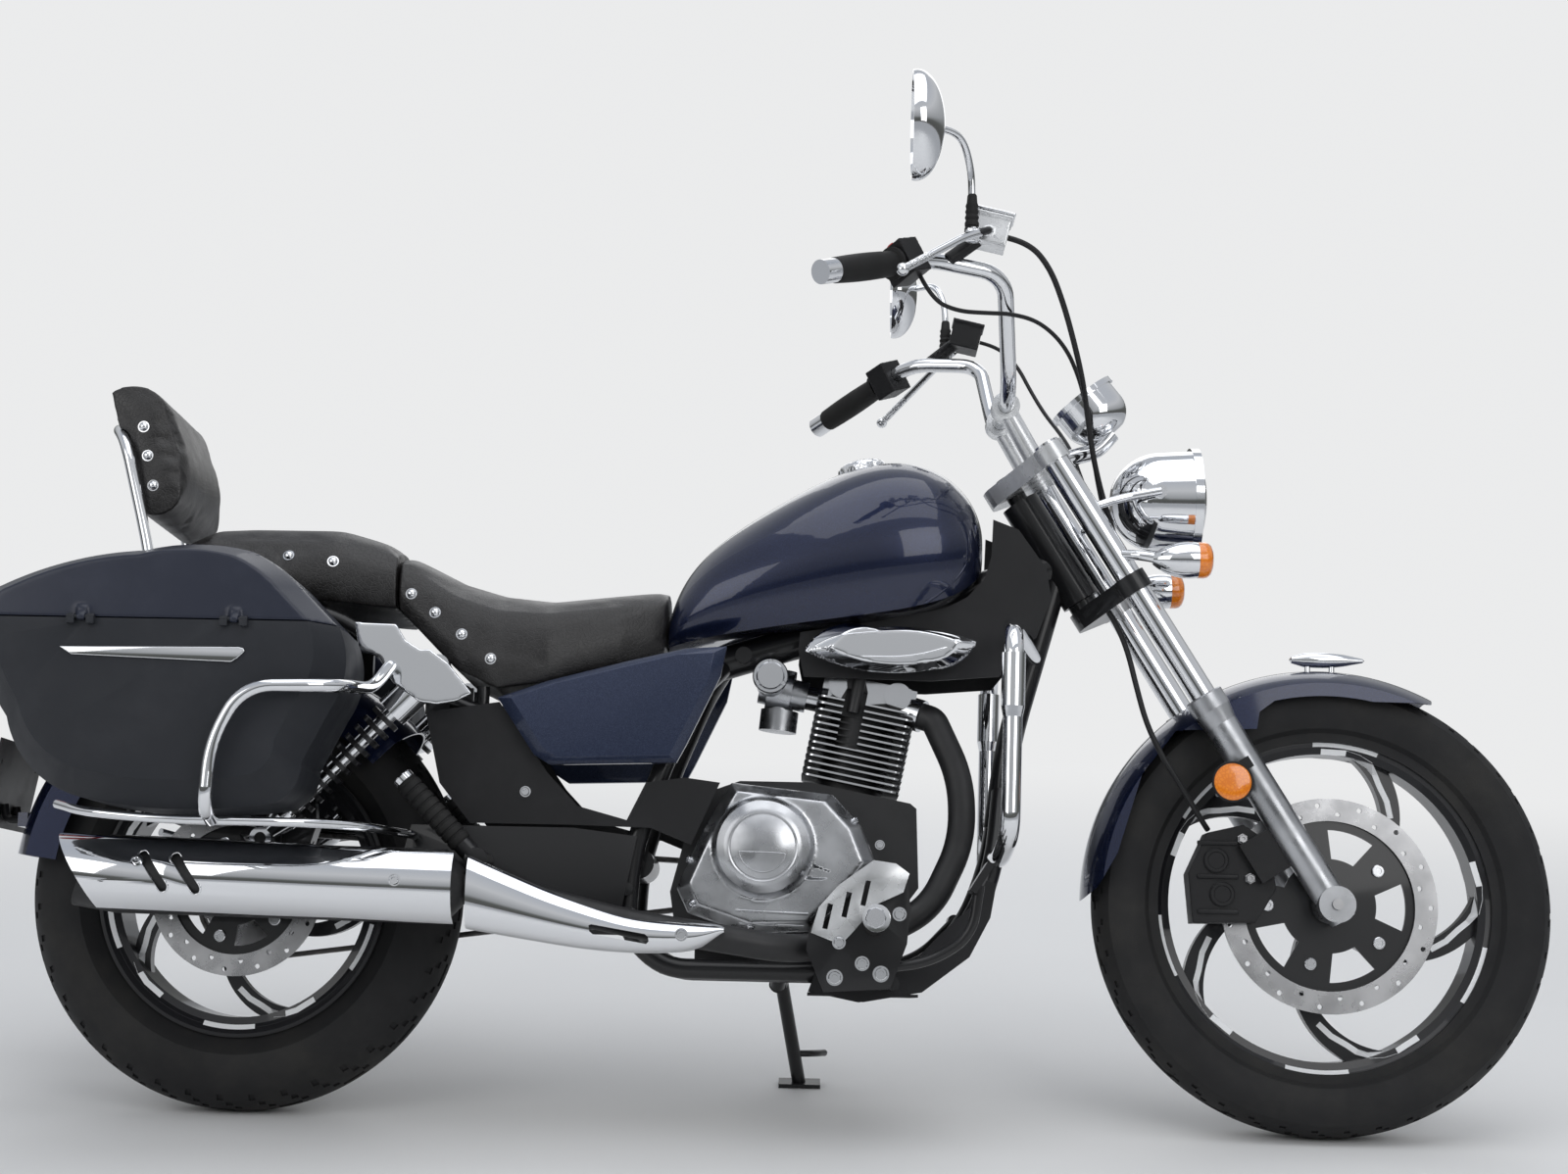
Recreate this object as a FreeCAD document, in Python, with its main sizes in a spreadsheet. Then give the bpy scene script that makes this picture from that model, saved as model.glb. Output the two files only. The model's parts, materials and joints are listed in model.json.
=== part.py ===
import FreeCAD, Part
import Sketcher
import math
import os
import re
from types import SimpleNamespace

from FreeCAD import Placement, Rotation, Vector

# A cruiser motorcycle parked on its side stand, in millimetres.
# Every piece is drawn upright in the motorcycle's own frame and then leaned over as one.
# In that frame +X points forward, +Y to the rider's left and +Z up. The rear axle is at x = 0
# and both tyres stand on z = 0. Three more frames serve the pieces that need them: the
# steering frame, whose +Z runs up the steering axis from the middle of the head tube, and one
# at the centre of each wheel.

SIZES = [
    # the stance
    ("wheelbase", 1515, "rear axle to front axle"),
    ("lean", 12, "degrees to the left on the side stand"),
    ("rake", 31.7, "degrees of the steering axis from vertical"),
    ("fork_offset", 57, "steering axis to the plane of the fork legs"),
    ("fork_drop", 625, "middle of the head tube to the front axle, along the steering axis"),
    ("seat_gap", 0.3, "space left between a curved piece and the piece it sits on"),
    ("run_gap", 0.08, "radial running clearance of a wheel or stand on its pin"),
    # the wheels
    ("tyre_crown", 66, "radius of both tyres across the tread"),
    ("front_tyre_radius", 318.5, "18 inch front tyre"),
    ("front_tyre_width", 100, "front tyre"),
    ("front_rim_radius", 242, "outside of the front rim's flange"),
    ("front_rim_width", 68, "across the front rim's flanges"),
    ("rear_tyre_radius", 307.5, "15 inch rear tyre"),
    ("rear_tyre_width", 130, "rear tyre"),
    ("rear_rim_radius", 204.5, "outside of the rear rim's flange"),
    ("rear_rim_width", 92, "across the rear rim's flanges"),
    ("spoke_thick", 20, "thickness of a cast spoke across the wheel"),
    ("hub_radius", 36, "hub barrel of both wheels"),
    ("front_hub_length", 118, "front hub across the wheel"),
    ("rear_hub_length", 138, "rear hub across the wheel"),
    ("front_axle_radius", 7.5, "front axle"),
    ("rear_axle_radius", 8.5, "rear axle"),
    ("rim_flange", 4, "thickness of a rim's flange"),
    ("bead_depth", 13, "rim's flange down to the tyre's seat"),
    ("rim_depth", 28, "rim's flange down to its inside"),
    ("chain_side", 80, "middle to the chain"),
    ("sprocket_radius", 84, "rear chain wheel below its teeth"),
    ("front_disc_radius", 148, "front brake disc"),
    ("front_disc_band", 31, "rubbed band of the front disc"),
    ("front_disc_side", 66, "front disc's distance to the right of the middle"),
    ("rear_disc_radius", 120, "rear brake disc"),
    ("rear_disc_band", 30, "rubbed band of the rear disc"),
    ("rear_disc_side", 79, "rear disc's distance to the right of the middle"),
    ("disc_thick", 5, "both discs"),
    # the fork and the yokes
    ("fork_half", 98, "middle of the motorcycle to a fork leg"),
    ("fork_tube_radius", 18.5, "chromed fork tube"),
    ("slider_radius", 23, "lower fork leg"),
    ("slider_top", 290, "head centre down to the top of the lower legs"),
    ("slider_boss", 27, "radius of a lower leg's top boss"),
    ("yoke_top", 95, "head centre up to the underside of the top yoke"),
    ("yoke_low", 95, "head centre down to the top side of the lower yoke"),
    ("yoke_thick", 26, "both yokes"),
    ("head_radius", 28, "head tube"),
    ("head_half", 84, "half the head tube's length"),
    ("stem_radius", 14, "steering stem"),
    # the controls
    ("bar_radius", 11, "handlebar tube"),
    ("bar_high", 207, "head centre up to the middle of the handlebar, along the steering axis"),
    ("bar_forward", 45, "steering axis to the middle of the handlebar"),
    ("grip_radius", 17, "rubber grip"),
    ("grip_length", 122, "rubber grip"),
    ("riser_radius", 17, "handlebar riser"),
    ("riser_half", 52, "middle to a riser"),
    ("mirror_wide", 118, "mirror head, across"),
    ("mirror_tall", 150, "mirror head, up and down"),
    ("mirror_deep", 44, "mirror head, fore and aft"),
    ("lamp_radius", 76, "headlamp shell at its rim"),
    ("lamp_length", 122, "headlamp shell"),
    ("pod_radius", 48, "instrument pod"),
    ("pod_length", 66, "instrument pod"),
    ("blinker_radius", 25, "direction indicator"),
    ("blinker_length", 66, "direction indicator"),
    # the frame
    ("backbone_radius", 24, "main tube under the tank"),
    ("downtube_radius", 18, "single tube in front of the engine"),
    ("cradle_radius", 14, "paired tubes round the engine"),
    ("cradle_half", 104, "middle to a cradle tube"),
    ("rail_radius", 11, "paired tubes under the seat"),
    ("rail_half", 112, "middle to a seat tube"),
    ("pivot_x", 560, "swinging arm pivot ahead of the rear axle"),
    ("pivot_z", 357, "swinging arm pivot above the floor"),
    ("pivot_radius", 22, "swinging arm pivot tube"),
    ("arm_radius", 16, "swinging arm tube"),
    ("arm_half", 108, "middle to a swinging arm tube"),
    # the engine
    ("case_half", 78, "crankcase each side of the middle"),
    ("cover_thick", 62, "right engine cover"),
    ("clutch_radius", 66, "round clutch cover"),
    ("clutch_x", 735, "clutch cover ahead of the rear axle"),
    ("clutch_z", 378, "clutch cover above the floor"),
    ("cylinder_tilt", 11, "degrees of the cylinder forward of vertical"),
    ("cylinder_x", 853, "cylinder foot ahead of the rear axle"),
    ("cylinder_z", 470, "cylinder foot above the floor"),
    ("barrel_radius", 47, "cylinder barrel inside its fins"),
    ("fin_long", 140, "cooling fin, fore and aft"),
    ("fin_wide", 128, "cooling fin, across"),
    ("fin_thick", 2.6, "cooling fin"),
    ("fin_pitch", 9.4, "fin to fin"),
    ("head_tall", 44, "cylinder head above its last fin"),
    # the exhaust
    ("header_radius", 19, "exhaust pipe"),
    ("silencer_radius", 50, "silencer"),
    ("silencer_side", 206, "silencer's distance to the right of the middle"),
    ("shield_gap", 3, "space between the silencer and its chrome shield"),
    ("shield_thick", 2, "chrome shield"),
    # the bodywork
    ("wall", 3, "moulded panels and fenders"),
    ("front_fender_gap", 13, "front tyre to its fender"),
    ("front_fender_half", 65, "half the front fender's width"),
    ("rear_fender_gap", 24, "rear tyre to its fender"),
    ("rear_fender_half", 92, "half the rear fender's width"),
    ("tank_half", 138, "half the tank's greatest width"),
    ("seat_half", 142, "half the seat's greatest width"),
    ("cover_side", 136, "middle to the back of a side cover"),
    # the luggage
    ("bag_inner", 192, "middle to a case's inner wall"),
    ("bag_depth", 188, "case, across"),
    ("bag_wall", 4, "case wall"),
    ("bag_seam", 642, "height of the seam between case and lid"),
    ("lid_gap", 1, "space between case and lid"),
    ("rail_bar_radius", 9, "chrome bar round a case"),
    # the stand
    ("stand_side", 146, "middle to the stand's pivot"),
    ("stand_pivot_x", 760, "stand's pivot ahead of the rear axle"),
    ("stand_pivot_z", 206, "stand's pivot above the floor"),
    ("stand_foot_x", 790, "stand's foot ahead of the rear axle"),
    ("stand_foot_side", 236, "wheel line to the stand's foot, along the floor"),
    ("stand_leg_radius", 10, "stand's leg"),
    ("stand_pin_radius", 6, "stand's pivot bolt"),
    ("stand_foot_thick", 6, "stand's foot plate"),
    ("guard_radius", 13, "chrome engine guard"),
    ("guard_side", 222, "middle to the guard's outer run"),
    ("peg_radius", 14, "footpeg"),
    ("peg_plate", 196, "middle to the plate that carries a footpeg"),
    ("shroud_half", 72, "middle to a side panel below the tank"),
    ("tunnel_gap", 6, "main tube to the tunnel under the tank"),
    ("shock_side", 152, "middle to a rear shock"),
    ("cap_radius", 36, "fuel cap"),
    ("tear_side", 96, "middle to the back of a teardrop cover"),
    ("panel_thick", 3, "black side panels"),
    ("inner_side", 131.3, "middle to the back of an inner panel"),
    ("plate_hole", 3.25, "radius of a number plate's bolt holes"),
    ("plate_pitch", 150, "number plate's bolt holes, centre to centre"),
    ("backrest_half", 116, "half the backrest's width"),
    ("sissy_radius", 8, "tube behind the backrest"),
    ("hinge_pin", 2.5, "radius of a lid's hinge pins"),
    ("shock_radius", 24, "rear shock's top cover"),
    ("strut_side", 177, "middle to the back of a fender strut"),
    ("stand_eye_radius", 13, "eye of the stand round its bolt"),
]

doc = FreeCAD.newDocument("CruiserMotorcycle")
sheet = doc.addObject("Spreadsheet::Sheet", "Sizes")
for row, (alias, number, meaning) in enumerate(SIZES, 1):
    sheet.set(f"A{row}", meaning)
    sheet.set(f"B{row}", str(number))
    sheet.setAlias(f"B{row}", alias)
doc.recompute()
ALIASES = {alias for alias, number, meaning in SIZES}
S = SimpleNamespace(**{alias: float(sheet.get(alias)) for alias in ALIASES})


# Small tools that tie objects to the sheet

def tied(text):
    """An expression on the sheet's cells, as another object of the document has to write it."""
    return re.sub(r"[A-Za-z_]\w*", lambda m: "Sizes." + m.group() if m.group() in ALIASES else m.group(),
                  str(text))


def number(text):
    """The value that an expression on the sheet's cells has now."""
    return float(sheet.evalExpression(str(text)))


def bind(thing, **properties):
    """Sets each property from an expression on the sheet's cells."""
    for name, text in properties.items():
        setattr(thing, name, number(text))
        thing.setExpression(name, tied(text))
    return thing


def body(name):
    return doc.addObject("PartDesign::Body", name)


def origin_feature(of_body, role):
    return next(f for f in of_body.Origin.OriginFeatures if f.Role == role)


def outline(of_body, plane, corners, offset="0"):
    """A closed sketch on one of a body's planes, offset along that plane's normal.
    A corner is (across, up), each an expression; with a third word it is a point on the arc
    between its two neighbours."""
    sketch = of_body.newObject("Sketcher::SketchObject", of_body.Name + "_outline")
    sketch.AttachmentSupport = [(origin_feature(of_body, plane), "")]
    sketch.MapMode = "FlatFace"
    sketch.setExpression(".AttachmentOffset.Base.z", tied(offset))
    points = [Vector(number(c[0]), number(c[1]), 0) for c in corners]
    on_arc = {i for i, c in enumerate(corners) if len(c) > 2}
    ends = [i for i in range(len(corners)) if i not in on_arc]

    def fix(geometry, place, i):
        for kind, value, text in (("DistanceX", points[i].x, corners[i][0]),
                                  ("DistanceY", points[i].y, corners[i][1])):
            rule = sketch.addConstraint(Sketcher.Constraint(kind, -1, 1, geometry, place, value))
            sketch.setExpression(f"Constraints[{rule}]", tied(text))

    edges = []
    for k, i in enumerate(ends):
        j, between = ends[(k + 1) % len(ends)], (i + 1) % len(corners)
        a, b = points[i], points[j]
        if between not in on_arc:
            edges.append((sketch.addGeometry(Part.LineSegment(a, b), False), 1, 2))
            continue
        middle = points[between]
        left_turn = (middle - a).cross(b - middle).z > 0
        arc = sketch.addGeometry(Part.Arc(a, middle, b) if left_turn else Part.Arc(b, middle, a), False)
        edges.append((arc, 1, 2) if left_turn else (arc, 2, 1))
        mark = sketch.addGeometry(Part.Point(middle), True)
        fix(mark, 1, between)
        sketch.addConstraint(Sketcher.Constraint("PointOnObject", mark, 1, arc))
    for k, i in enumerate(ends):
        sketch.addConstraint(Sketcher.Constraint("Coincident", edges[k - 1][0], edges[k - 1][2],
                                                 edges[k][0], edges[k][1]))
        fix(edges[k][0], edges[k][1], i)
    return sketch


def pad(of_body, sketch, length, middle=False):
    feature = of_body.newObject("PartDesign::Pad", of_body.Name + "_pad")
    feature.Profile = sketch
    bind(feature, Length=length)
    feature.Midplane = middle
    return feature


def pocket(of_body, sketch, length, middle=True):
    feature = of_body.newObject("PartDesign::Pocket", of_body.Name + "_pocket")
    feature.Profile = sketch
    bind(feature, Length=length)
    feature.Midplane = middle
    return feature


def turned(of_body, sketch, angle=360, kind="Revolution"):
    """Turns a sketch about its own horizontal axis."""
    feature = of_body.newObject("PartDesign::" + kind, of_body.Name + "_turn")
    feature.Profile = sketch
    feature.ReferenceAxis = (sketch, ["H_Axis"])
    feature.Angle = angle
    return feature


def round_about(of_body, features, axis, count):
    pattern = of_body.newObject("PartDesign::PolarPattern", of_body.Name + "_ring")
    pattern.Originals = features
    pattern.Axis = (origin_feature(of_body, axis), [""])
    pattern.Occurrences = count
    of_body.Tip = pattern
    return pattern


def plate(name, corners, thick, plane="XZ_Plane", offset="0", middle=False):
    """A flat piece of one outline. On the XZ plane, offset and thickness run to the right."""
    made = body(name)
    pad(made, outline(made, plane, corners, offset), thick, middle)
    return made


def turning(name, corners, plane="XZ_Plane", at=None):
    """A round piece: an outline of (along, radius) turned about X, or about Y on the YZ plane."""
    made = body(name)
    turned(made, outline(made, plane, corners))
    if at is not None:
        made.Placement = at
    return made


def loft(name, plane, stations, ruled=False):
    """A solid through outlines on parallel planes. Each station is (offset, corners)."""
    made = body(name)
    sketches = [outline(made, plane, corners, offset) for offset, corners in stations]
    feature = made.newObject("PartDesign::AdditiveLoft", name + "_loft")
    feature.Profile = sketches[0]
    feature.Sections = sketches[1:]
    feature.Ruled = ruled
    return made


def along(start, direction):
    """A placement whose +X runs along a direction."""
    return Placement(Vector(*start), Rotation(Vector(1, 0, 0), Vector(*direction)))


def rod(name, radius, length, start, direction):
    """A straight round bar from a start point along a direction."""
    made = doc.addObject("Part::Cylinder", name)
    bind(made, Radius=radius, Height=length)
    made.Placement = Placement(Vector(*start), Rotation(Vector(0, 0, 1), Vector(*direction)))
    return made


def block(name, length, width, height, centre, turn=None):
    """A box about its centre."""
    made = doc.addObject("Part::Box", name)
    bind(made, Length=length, Width=width, Height=height)
    half = Vector(number(length), number(width), number(height)) / 2
    spin = turn or Rotation()
    made.Placement = Placement(Vector(*centre) - spin.multVec(half), spin)
    return made


def shaped(name, shape):
    made = doc.addObject("Part::Feature", name)
    made.Shape = shape
    return made


def bent_path(points, bend=0.45):
    """Straight runs joined by tangent arcs, each arc as large as its two runs allow."""
    points = [Vector(*p) for p in points]
    edges, last = [], points[0]
    for before, corner, after in zip(points, points[1:], points[2:]):
        back, ahead = before - corner, after - corner
        reach = bend * min(back.Length, ahead.Length)
        half_turn = (math.pi - back.getAngle(ahead)) / 2
        start = corner + back.normalize() * reach
        end = corner + ahead.normalize() * reach
        inward = reach / math.tan(half_turn) * (1 / math.cos(half_turn) - 1)
        middle = corner + (start + end - corner * 2).normalize() * inward
        edges.append(Part.LineSegment(last, start).toShape())
        edges.append(Part.Arc(start, middle, end).toShape())
        last = end
    edges.append(Part.LineSegment(last, points[-1]).toShape())
    return Part.Wire(edges)


def bend_radii(points, bend=0.45):
    """The radii of the arcs that bent_path makes."""
    points = [Vector(*p) for p in points]
    radii = []
    for before, corner, after in zip(points, points[1:], points[2:]):
        back, ahead = before - corner, after - corner
        half_turn = (math.pi - back.getAngle(ahead)) / 2
        radii.append(bend * min(back.Length, ahead.Length) / math.tan(half_turn))
    return radii


def tube_shape(points, radius, bend=0.45):
    if len(points) > 2:
        path = bent_path(points, bend)
    else:
        path = Part.Wire([Part.LineSegment(Vector(*points[0]), Vector(*points[1])).toShape()])
    direction = Vector(*points[1]) - Vector(*points[0])
    ring = Part.Wire([Part.Circle(Vector(*points[0]), direction, radius).toShape()])
    return path.makePipeShell([ring], True, False)


def fused(name, parts):
    made = doc.addObject("Part::MultiFuse", name)
    made.Shapes = parts
    return made


def without(name, base, tools):
    """A base less its tools."""
    made = doc.addObject("Part::Cut", name)
    made.Base = base
    made.Tool = tools[0] if len(tools) == 1 else fused(name + "_tools", tools)
    return made


def mirrored(name, part):
    made = doc.addObject("Part::Mirroring", name)
    made.Source = part
    made.Normal = Vector(0, 1, 0)
    return made


def both_sides(name, part):
    """A right-hand piece and its left-hand mirror image, as solids that don't touch."""
    made = doc.addObject("Part::Compound", name)
    made.Links = [part, mirrored(name + "_left", part)]
    return made


def side_by_side(name, parts):
    made = doc.addObject("Part::Compound", name)
    made.Links = parts
    return made


def mirror_points(points):
    return [(x, -y, z) for x, y, z in points]


# The four frames

RAKE = math.radians(S.rake)
AXLE = Vector(S.wheelbase, 0, S.front_tyre_radius)
STEERING_UP = Vector(-math.sin(RAKE), 0, math.cos(RAKE))
STEERING_AHEAD = Vector(math.cos(RAKE), 0, math.sin(RAKE))
HEAD = AXLE - STEERING_AHEAD * S.fork_offset + STEERING_UP * S.fork_drop
UPRIGHT = Placement()
STEERING = Placement(HEAD, Rotation(Vector(0, 1, 0), -S.rake))
FRONT_WHEEL = Placement(AXLE, Rotation())
REAR_WHEEL = Placement(Vector(0, 0, S.rear_tyre_radius), Rotation())

nodes = []


def node(label, thing, frame=UPRIGHT):
    """Registers a finished sub-part: its label names its file, its frame says where it was drawn."""
    thing.Label = label
    nodes.append((thing, frame))
    return thing


def circle(of_body, plane, centre, radius, offset="0"):
    """A round sketch on one of a body's planes."""
    sketch = of_body.newObject("Sketcher::SketchObject", of_body.Name + "_circle")
    sketch.AttachmentSupport = [(origin_feature(of_body, plane), "")]
    sketch.MapMode = "FlatFace"
    sketch.setExpression(".AttachmentOffset.Base.z", tied(offset))
    middle = Vector(number(centre[0]), number(centre[1]), 0)
    ring = sketch.addGeometry(Part.Circle(middle, Vector(0, 0, 1), number(radius)), False)
    rules = (("DistanceX", middle.x, centre[0]), ("DistanceY", middle.y, centre[1]))
    for kind, value, text in rules:
        rule = sketch.addConstraint(Sketcher.Constraint(kind, -1, 1, ring, 3, value))
        sketch.setExpression(f"Constraints[{rule}]", tied(text))
    rule = sketch.addConstraint(Sketcher.Constraint("Radius", ring, number(radius)))
    sketch.setExpression(f"Constraints[{rule}]", tied(radius))
    return sketch


# The wheels, drawn about their own centres with the axle along Y

def tyre(end):
    rim, bead = f"{end}_rim_radius", f"({end}_rim_width / 2 - rim_flange - seat_gap)"
    shoulder = f"({end}_tyre_width / 2 - 4)"
    shoulder_up = f"({end}_tyre_radius - tyre_crown + sqrt(tyre_crown ^ 2 - {shoulder} ^ 2))"
    bulge_up = f"(({rim} + {shoulder_up}) / 2 + 4)"
    return turning(end + "_tyre", [
        (f"-{bead}", f"{rim} - bead_depth + seat_gap"),
        (f"-{bead}", f"{rim} + 1"),
        (f"-{end}_tyre_width / 2", bulge_up, "mid"),
        (f"-{shoulder}", shoulder_up),
        ("0", f"{end}_tyre_radius", "mid"),
        (shoulder, shoulder_up),
        (f"{end}_tyre_width / 2", bulge_up, "mid"),
        (bead, f"{rim} + 1"),
        (bead, f"{rim} - bead_depth + seat_gap"),
    ], "YZ_Plane")


SPOKE = [  # one swept-back cast spoke: forward, up, for a rim whose inside radius is 1
    (0.103, -0.168),
    (0.680, -0.330, "mid"),
    (0.996, -0.150),
    (1.056, 0.000),
    (1.000, 0.103),
    (0.632, -0.222, "mid"),
    (0.056, -0.047),
]


def cast_wheel(end, bore):
    """Hub, five spokes and rim cast in one piece."""
    made = body(end + "_cast_wheel")
    half, long = f"({end}_rim_width / 2)", f"({end}_hub_length / 2)"
    rim = f"{end}_rim_radius"
    inside = f"({rim} - rim_depth)"
    turned(made, outline(made, "YZ_Plane", [
        (f"-{long}", bore), (long, bore), (long, "hub_radius - 12"), (f"{long} - 22", "hub_radius"),
        (f"22 - {long}", "hub_radius"), (f"-{long}", "hub_radius - 12")]))
    spoke = outline(made, "XZ_Plane", [(f"{inside} * ({c[0]})", f"{inside} * ({c[1]})") + c[2:]
                                       for c in SPOKE])
    round_about(made, [pad(made, spoke, "spoke_thick", True)], "Y_Axis", SPOKES)
    turned(made, outline(made, "YZ_Plane", [
        (f"-{half}", rim), (f"rim_flange - {half}", rim), (f"rim_flange - {half}", f"{rim} - bead_depth"),
        (f"{half} - rim_flange", f"{rim} - bead_depth"), (f"{half} - rim_flange", rim), (half, rim),
        (half, f"{rim} - 5"), (f"{half} - 7", f"{rim} - 18"), (f"{half} - 9", inside),
        (f"9 - {half}", inside), (f"7 - {half}", f"{rim} - 18"), (f"-{half}", f"{rim} - 5")]))
    return made


def brake_disc(end):
    """The rubbed ring, drilled in two staggered rows."""
    made = body(end + "_brake_ring")
    radius, band, side = f"{end}_disc_radius", f"{end}_disc_band", f"{end}_disc_side"
    turned(made, outline(made, "YZ_Plane", [
        (f"-{side} - disc_thick / 2", f"{radius} - {band}"),
                                            (f"-{side} + disc_thick / 2", f"{radius} - {band}"),
        (f"-{side} + disc_thick / 2", radius), (f"-{side} - disc_thick / 2", radius)]))
    for inset, turn in ((0.3, 0), (0.7, 12)):
        place = f"({radius} - {inset} * {band})"
        hole = circle(made, "XZ_Plane", (f"{place} * cos({turn})", f"{place} * sin({turn})"), "3.5", side)
        round_about(made, [pocket(made, hole, "disc_thick * 3")], "Y_Axis", DISC_HOLES)
    return made


def disc_carrier(end):
    """The dark spider that bolts the ring to the hub."""
    made = body(end + "_carrier")
    outside = f"({end}_disc_radius - {end}_disc_band + 8)"
    near, far = f"-{end}_hub_length / 2 - seat_gap", f"-{end}_disc_side + disc_thick / 2"
    turned(made, outline(made, "YZ_Plane", [(near, "13"), (far, "13"), (far, outside), (near, outside)]))
    hollow = f"({outside} - 20)"
    window = outline(made, "XZ_Plane", [
        (f"{hollow} * cos(-18)", f"{hollow} * sin(-18)"), (hollow, "0", "mid"),
        (f"{hollow} * cos(18)", f"{hollow} * sin(18)"),
                                        (f"{hollow} * 0.62 * cos(14)", f"{hollow} * 0.62 * sin(14)"),
        (f"{hollow} * 0.62", "0", "mid"), (f"{hollow} * 0.62 * cos(-14)", f"{hollow} * 0.62 * sin(-14)")],
        f"{end}_disc_side")
    round_about(made, [pocket(made, window, "60")], "Y_Axis", SPOKES)
    return made


SPOKES = 5
DISC_HOLES = 15

node("front_tyre", tyre("front"), FRONT_WHEEL)
node("front_cast_wheel", cast_wheel("front", "front_axle_radius + run_gap"), FRONT_WHEEL)
node("front_brake_disc", fused("front_disc_parts", [brake_disc("front"), disc_carrier("front")]),
     FRONT_WHEEL)
node("rear_tyre", tyre("rear"), REAR_WHEEL)
node("rear_cast_wheel", cast_wheel("rear", "rear_axle_radius + run_gap"), REAR_WHEEL)
node("rear_brake_disc", fused("rear_disc_parts", [brake_disc("rear"), disc_carrier("rear")]), REAR_WHEEL)


def sprocket(name, outside, bore, near, far, teeth):
    """A chain wheel whose teeth stand out of a plain disc."""
    made = body(name)
    turned(made, outline(made, "YZ_Plane", [(near, bore), (far, bore), (far, outside), (near, outside)]))
    tooth = outline(made, "XZ_Plane", [
        ("-3.2", f"{outside} - 2"), ("-1.4", f"{outside} + 4"), ("1.4", f"{outside} + 4"),
                                       ("3.2", f"{outside} - 2")],
        f"-({far})")
    round_about(made, [pad(made, tooth, f"{far} - ({near})")], "Y_Axis", teeth)
    return made


REAR_TEETH = 38
node("rear_sprocket", sprocket("rear_sprocket", "sprocket_radius", "13", "rear_hub_length / 2 + seat_gap",
                               "chain_side + 3", REAR_TEETH), REAR_WHEEL)

front_axle = rod("front_axle_bar", "front_axle_radius", "2 * fork_half + 2 * slider_radius + 10",
                 (0, -S.fork_half - S.slider_radius - 5, 0), (0, 1, 0))
node("front_axle", front_axle, FRONT_WHEEL)
rear_axle = rod("rear_axle_bar", "rear_axle_radius", "2 * arm_half + 2 * arm_radius + 14",
                (0, -S.arm_half - S.arm_radius - 7, 0), (0, 1, 0))
node("rear_axle", rear_axle, REAR_WHEEL)


# The fork and what turns with it. STEERING's +Z runs up the head, LEVEL is the same point unturned.

LEVEL = Placement(HEAD, Rotation())
DOWN = (0, 0, -1)


def clamp_plate(name, low, rear, front, bores):
    """A yoke: a plate that grips both fork legs, lying across the steering axis."""
    made = body(name)
    side = "(fork_half + fork_tube_radius)"
    pad(made, outline(made, "XY_Plane", [
        (f"-({rear})", "-24"), (f"-({rear}) - 5", "0", "mid"), (f"-({rear})", "24"),
        ("fork_offset - 24", f"{side} - 14"), ("fork_offset - 4", f"{side} + 8", "mid"),
        ("fork_offset + 22", f"{side} - 12"), (f"fork_offset + {front}", "0", "mid"),
        ("fork_offset + 22", f"12 - {side}"), ("fork_offset - 4", f"-{side} - 8", "mid"),
        ("fork_offset - 24", f"14 - {side}")], low), "yoke_thick")
    for across in ("-fork_half", "fork_half"):
        pocket(made, circle(made, "XY_Plane", ("fork_offset", across), "fork_tube_radius + seat_gap",
                            low),
               "yoke_thick * 3")
    if bores:
        pocket(made, circle(made, "XY_Plane", ("0", "0"), "stem_radius + seat_gap", low),
               "yoke_thick * 3")
    return made


lower_plate = clamp_plate("lower_plate", "-yoke_low - yoke_thick", "20", "20", False)
stem = rod("stem", "stem_radius", "yoke_low + yoke_top + yoke_thick + 6", (0, 0, -S.yoke_low), (0, 0, 1))
lower_race = rod("lower_race", "stem_radius + 7", "yoke_low - head_half - seat_gap", (0, 0, -S.yoke_low),
                 (0, 0, 1))
node("lower_yoke", fused("lower_yoke_and_stem", [lower_plate, stem, lower_race]), STEERING)

upper_plate = clamp_plate("upper_plate", "yoke_top", "34", "8", True)
upper_parts = [upper_plate]
for side in (-1, 1):
    foot = (S.bar_forward - 4, side * S.riser_half, S.yoke_top + S.yoke_thick - 2)
    reach = Vector(S.bar_forward, side * S.riser_half, S.bar_high) - Vector(*foot)
    upper_parts.append(rod(f"riser_{side + 1}", "riser_radius - 3",
                           "bar_high - yoke_top - yoke_thick + 2", foot, reach))
    upper_parts.append(rod(f"bar_clamp_{side + 1}", "riser_radius + 3", "30",
                           (S.bar_forward, side * S.riser_half - 15, S.bar_high), (0, 1, 0)))
bar_hole = rod("bar_hole", "bar_radius + seat_gap", "4 * riser_half",
               (S.bar_forward, -2 * S.riser_half, S.bar_high), (0, 1, 0))
node("top_yoke", without("top_yoke_and_risers", fused("upper_parts", upper_parts), [bar_hole]), STEERING)

fork_tube = rod("fork_tube", "fork_tube_radius", "slider_top + yoke_top + yoke_thick + 4",
                (S.fork_offset, -S.fork_half, -S.slider_top + S.seat_gap), (0, 0, 1))
node("fork_tubes", both_sides("fork_tube_pair", fork_tube), STEERING)

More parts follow.
